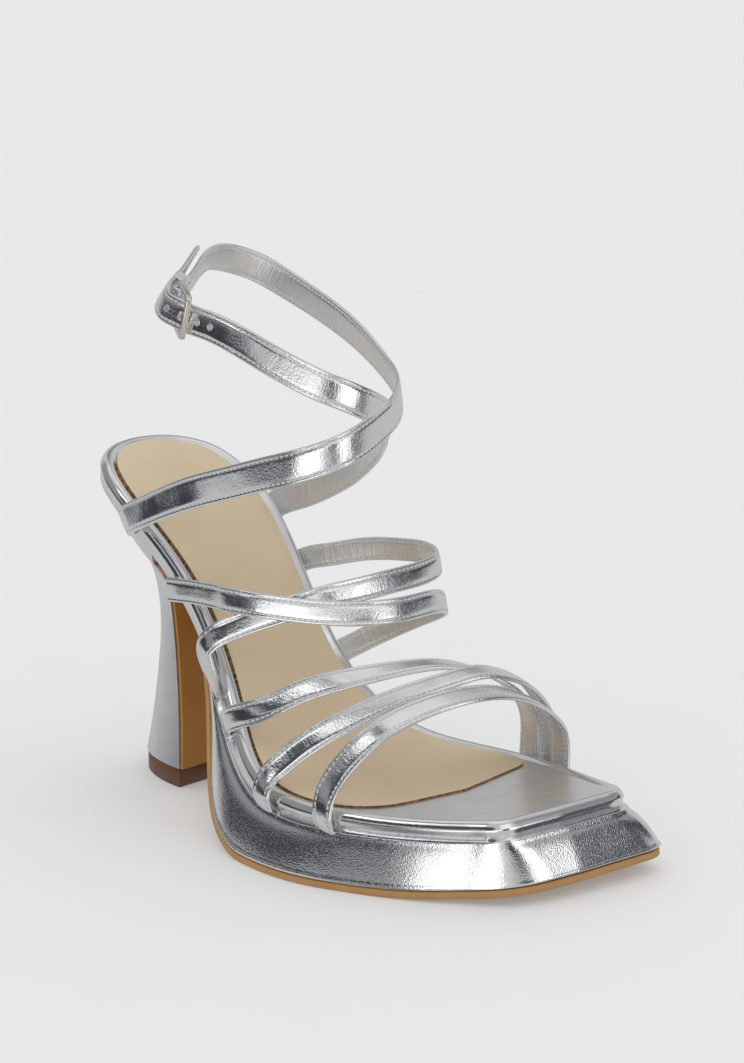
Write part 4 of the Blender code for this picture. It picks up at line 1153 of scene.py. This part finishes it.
buckle_length = np.linalg.norm(BUCKLE_REAR - BUCKLE_FRONT)
bpy.ops.object.select_all(action="DESELECT")
bpy.ops.mesh.primitive_plane_add(size=1.0)
buckle = bpy.context.object
buckle.name = buckle.data.name = "buckle_frame_cast"
buckle.scale = ((buckle_length + BUCKLE_BAR) * MM, BUCKLE_WIDTH * MM, 1.0)
bpy.ops.object.transform_apply(scale=True)
bpy.ops.object.mode_set(mode="EDIT")
bpy.ops.mesh.select_all(action="SELECT")
bpy.ops.mesh.bevel(offset=BUCKLE_CORNER * MM, segments=BUCKLE_CORNER_STEPS, affect="VERTICES")
bpy.ops.mesh.inset(thickness=BUCKLE_BAR * MM, depth=0.0)
bpy.ops.mesh.delete(type="FACE")
bpy.ops.object.mode_set(mode="OBJECT")
thickness = buckle.modifiers.new("thickness", "SOLIDIFY")
thickness.thickness = BUCKLE_BAR * MM
thickness.offset = 0.0
bpy.ops.object.modifier_apply(modifier=thickness.name)
edges = buckle.modifiers.new("edges", "BEVEL")
edges.width = BUCKLE_EDGE * MM
edges.segments = BUCKLE_EDGE_STEPS
edges.limit_method = "ANGLE"
bpy.ops.object.modifier_apply(modifier=edges.name)
set_in_buckle(buckle)
smooth(buckle, 30)
nickel_plate = nickel()
settle(buckle, "buckle_frame", "nickel", nickel_plate)


# Buckle pin.  A round pin of the same metal, which starts at the fold round the rear bar, goes through
# a hole of the inner strap and lies on the front bar with a tapered tip.
PIN_RADIUS = 0.75
PIN_TIP_RADIUS = 0.45
PIN_TAPER_START = 0.85
PIN_RISE_PLACE = 5.5
PIN_RISE_HEIGHT = 0.5
PIN_OVERHANG = 1.6
PIN_ROWS = 24
PIN_SIDES = 12

pin_rest = BUCKLE_BAR / 2 + GLUE_GAP + PIN_RADIUS
pin_start = pin_rest + STRAP_THICKNESS + GLUE_GAP
pin_path = [BUCKLE_REAR - buckle_back * pin_start,
            BUCKLE_FRONT + buckle_back * PIN_RISE_PLACE + buckle_out * PIN_RISE_HEIGHT,
            BUCKLE_FRONT + buckle_out * pin_rest,
            BUCKLE_FRONT - buckle_back * PIN_OVERHANG + buckle_out * pin_rest]
pin_shares = np.linspace(0.0, 1.0, PIN_ROWS)
pin_radii = np.interp(pin_shares, [0.0, PIN_TAPER_START, 1.0], [PIN_RADIUS, PIN_RADIUS, PIN_TIP_RADIUS])
pin_turns = np.linspace(0.0, 2 * math.pi, PIN_SIDES, endpoint=False)
pin_round = np.outer(np.cos(pin_turns), buckle_down) + np.outer(np.sin(pin_turns), buckle_out)
pin_line = evenly(spline(pin_path), PIN_ROWS)
pin_rows = [point + radius * pin_round for point, radius in zip(pin_line, pin_radii)]
pin = closed("buckle_pin", laid_sheet("buckle_pin", pin_rows, wrapped=True))
smooth(pin, 40)
settle(pin, "buckle_prong", "nickel", nickel_plate)


# Strap keeper.  A loop of the silver leather round both ankle straps behind the buckle, which holds
# the free end down.
KEEPER_PLACE = np.array([-26.6, 50.2, 177.0])
KEEPER_WIDTH = 4.4
KEEPER_WALL = 1.1
KEEPER_CORNER = 1.6
KEEPER_CORNER_POINTS = 6
KEEPER_STEPS = 2
# Its section as shares of (wall, width), flat inside and swelling a little outside.
KEEPER_SECTION = [(-0.5, -0.5), (-0.5, 0.0), (-0.5, 0.5), (0.1, 0.52), (0.5, 0.42), (0.55, 0.0),
                  (0.5, -0.42), (0.1, -0.52)]

around = []
for strap in (outer_ankle, inner_ankle):
    nearest = int(np.argmin(np.linalg.norm(strap.points - KEEPER_PLACE, axis=1)))
    keeper_side, keeper_out = strap.across[nearest], strap.out[nearest]
    for i in range(nearest - KEEPER_STEPS, nearest + KEEPER_STEPS + 1):
        for v, n in strap_outline(strap.widths[i]):
            around.append(strap.points[i] + strap.across[i] * v + strap.out[i] * n)
around = np.array(around) - KEEPER_PLACE
spread_out, spread_side = around @ keeper_out, around @ keeper_side
keeper_run = np.cross(keeper_out, keeper_side)
keeper_centre = (KEEPER_PLACE + keeper_out * (spread_out.max() + spread_out.min()) / 2
                 + keeper_side * (spread_side.max() + spread_side.min()) / 2)
half_out = np.ptp(spread_out) / 2 + GLUE_GAP + KEEPER_WALL / 2
half_side = np.ptp(spread_side) / 2 + GLUE_GAP + KEEPER_WALL / 2
loop = []
for corner, (sign_out, sign_side) in enumerate(((1, 1), (-1, 1), (-1, -1), (1, -1))):
    for turn in np.radians(90 * corner + np.linspace(0.0, 90.0, KEEPER_CORNER_POINTS)):
        loop.append(((sign_out * (half_out - KEEPER_CORNER), sign_side * (half_side - KEEPER_CORNER)),
                     (math.cos(turn), math.sin(turn))))
keeper_rows = []
for (u, v), (out_u, out_v) in loop + loop[:1]:
    row = []
    for swell, lift in KEEPER_SECTION:
        reach = swell * KEEPER_WALL
        row.append(keeper_centre + keeper_out * (u + reach * out_u) + keeper_side * (v + reach * out_v)
                   + keeper_run * lift * KEEPER_WIDTH)
    keeper_rows.append(row)
keeper = joined("strap_keeper_loop", [laid_sheet("strap_keeper_loop", keeper_rows, wrapped=True)])
rounded(keeper)
smooth(keeper, 60)
settle(keeper, "strap_keeper", "silver_leather", strap_materials[0])


# Studio.  A pale floor without a horizon under an even dome of light, with dark cards and soft boxes
# that show only in reflections, and the camera at the photograph's place.
CAMERA_PLACE = (-0.564566, -0.588926, 0.302785)
CAMERA_RIGHT = np.array([0.711738, -0.702436, -0.003664])
CAMERA_UP = np.array([0.172353, 0.169574, 0.970329])
FOCAL_PIXELS = 2600.0
PHOTO_HEIGHT = 1063
SENSOR = 36.0
FLOOR_SIZE = 60.0
# The floor glows a little of its own, which keeps the shadows soft and pale.
FLOOR_GLOW = 0.18
FLOOR_DARK = colour(0.63, 0.63, 0.63)
FLOOR_LIGHT = colour(0.645, 0.645, 0.645)
WHITE = colour(1.0, 1.0, 1.0)

bpy.ops.object.select_all(action="DESELECT")
bpy.ops.mesh.primitive_plane_add(size=FLOOR_SIZE)
floor = bpy.context.object
floor.name = floor.data.name = "floor"
paint = Finish("floor_paint", {"Specular IOR Level": 0.1, "Roughness": 0.9, "Emission Strength": FLOOR_GLOW,
                               "Emission Color": WHITE})
speckle = paint.noise(paint.place(), 30.0, 2.0)
paint.drive({"Base Color": paint.blend(speckle, FLOOR_DARK, FLOOR_LIGHT)})
floor.data.materials.append(paint.material)
floor.visible_glossy = False

# What the silver reflects: (azimuth, half its width, lowest, highest, softness, brightness), in degrees
# from the way that the toe points.  A later card hangs in front of an earlier one.
ALL_ROUND = 180
CARDS = [
    (0, ALL_ROUND, 8, 95, 6, 0.54),
    (0, ALL_ROUND, 70, 95, 8, 0.78),
    (175, 38, 57, 95, 5, 0.72),
    (135, 18, 28, 46, 6, 0.25),
    (-142, 44, 6, 48, 6, 0.28),
    (-121, 44, -12, 9, 3, 0.05),
    (-156, 15, -32, -8, 3, 0.52),
    (-88, 13, -70, -18, 5, 0.22),
    (-88, 26, 18, 36, 3, 0.06),
    (-97, 17, 37, 53, 3, 1.5),
    (-100, 18, 58, 69, 4, 0.20),
    (-62, 11, 13, 36, 4, 0.07),
    (-57, 15, -26, -5, 4, 1.7),
    (-43, 16, -8, 11, 6, 1.2),
    (-15, 10, -14, 14, 4, 0.03),
    (-12, 20, 20, 50, 5, 0.95),
    (8, 11, -18, 14, 4, 1.5),
    (48, 28, 3, 20, 5, 0.06),
    (29, 8, -42, 6, 4, 0.07),
    (52, 30, 22, 50, 6, 0.26),
]
# The brightness of what lies below the cards, and the cool tint of the darkest ones.
BELOW = 0.55
COOL = colour(0.80, 0.88, 1.06)
COOL_UP_TO = (0.04, 0.3)

world = bpy.data.worlds.new("studio")
world.use_nodes = True
world.cycles.sampling_method = "NONE"
bpy.context.scene.world = world
dome = Mixer(world.node_tree)
direction = dome.add("ShaderNodeTexCoord", {}, {}, "Generated")
east, north, height = (dome.add("ShaderNodeSeparateXYZ", {}, {"Vector": direction}, axis) for axis in "XYZ")
bearing = dome.add("ShaderNodeMath", {"operation": "ARCTAN2"}, {0: east, 1: north * -1.0})
azimuth = bearing * math.degrees(1.0)
rise = dome.add("ShaderNodeMath", {"operation": "ARCSINE"}, {0: height})
elevation = rise * math.degrees(1.0)
shine = BELOW
for card_azimuth, half_width, low, high, soft, brightness in CARDS:
    wrapping = {0: azimuth - card_azimuth, 1: ALL_ROUND, 2: -ALL_ROUND}
    turned = dome.add("ShaderNodeMath", {"operation": "WRAP"}, wrapping)
    aside = dome.add("ShaderNodeMath", {"operation": "ABSOLUTE"}, {0: turned})
    card = dome.ease(elevation, low - soft, low + soft) * dome.ease(elevation, high + soft, high - soft)
    if half_width < ALL_ROUND:
        card = card * dome.ease(aside, half_width + soft, half_width - soft)
    shine = shine * (1 - card) + brightness * card
glossy = dome.add("ShaderNodeLightPath", {}, {}, "Is Glossy Ray")
light = 1 - glossy + shine * glossy
tint = dome.blend(dome.ease(light, *COOL_UP_TO), COOL, WHITE)
background = world.node_tree.nodes["Background"]
plug(world.node_tree, background.inputs["Strength"], light)
plug(world.node_tree, background.inputs["Color"], tint)

eye = bpy.data.cameras.new("camera")
eye.sensor_width = SENSOR
eye.lens = FOCAL_PIXELS / PHOTO_HEIGHT * SENSOR
eye.clip_start, eye.clip_end = 0.05, 100.0
camera = bpy.data.objects.new("camera", eye)
bpy.context.collection.objects.link(camera)
camera_back = np.cross(CAMERA_RIGHT, CAMERA_UP)
camera.matrix_world = turned_to(CAMERA_RIGHT, CAMERA_UP, camera_back, CAMERA_PLACE)
bpy.context.scene.camera = camera
bpy.context.scene.view_settings.view_transform = "Standard"
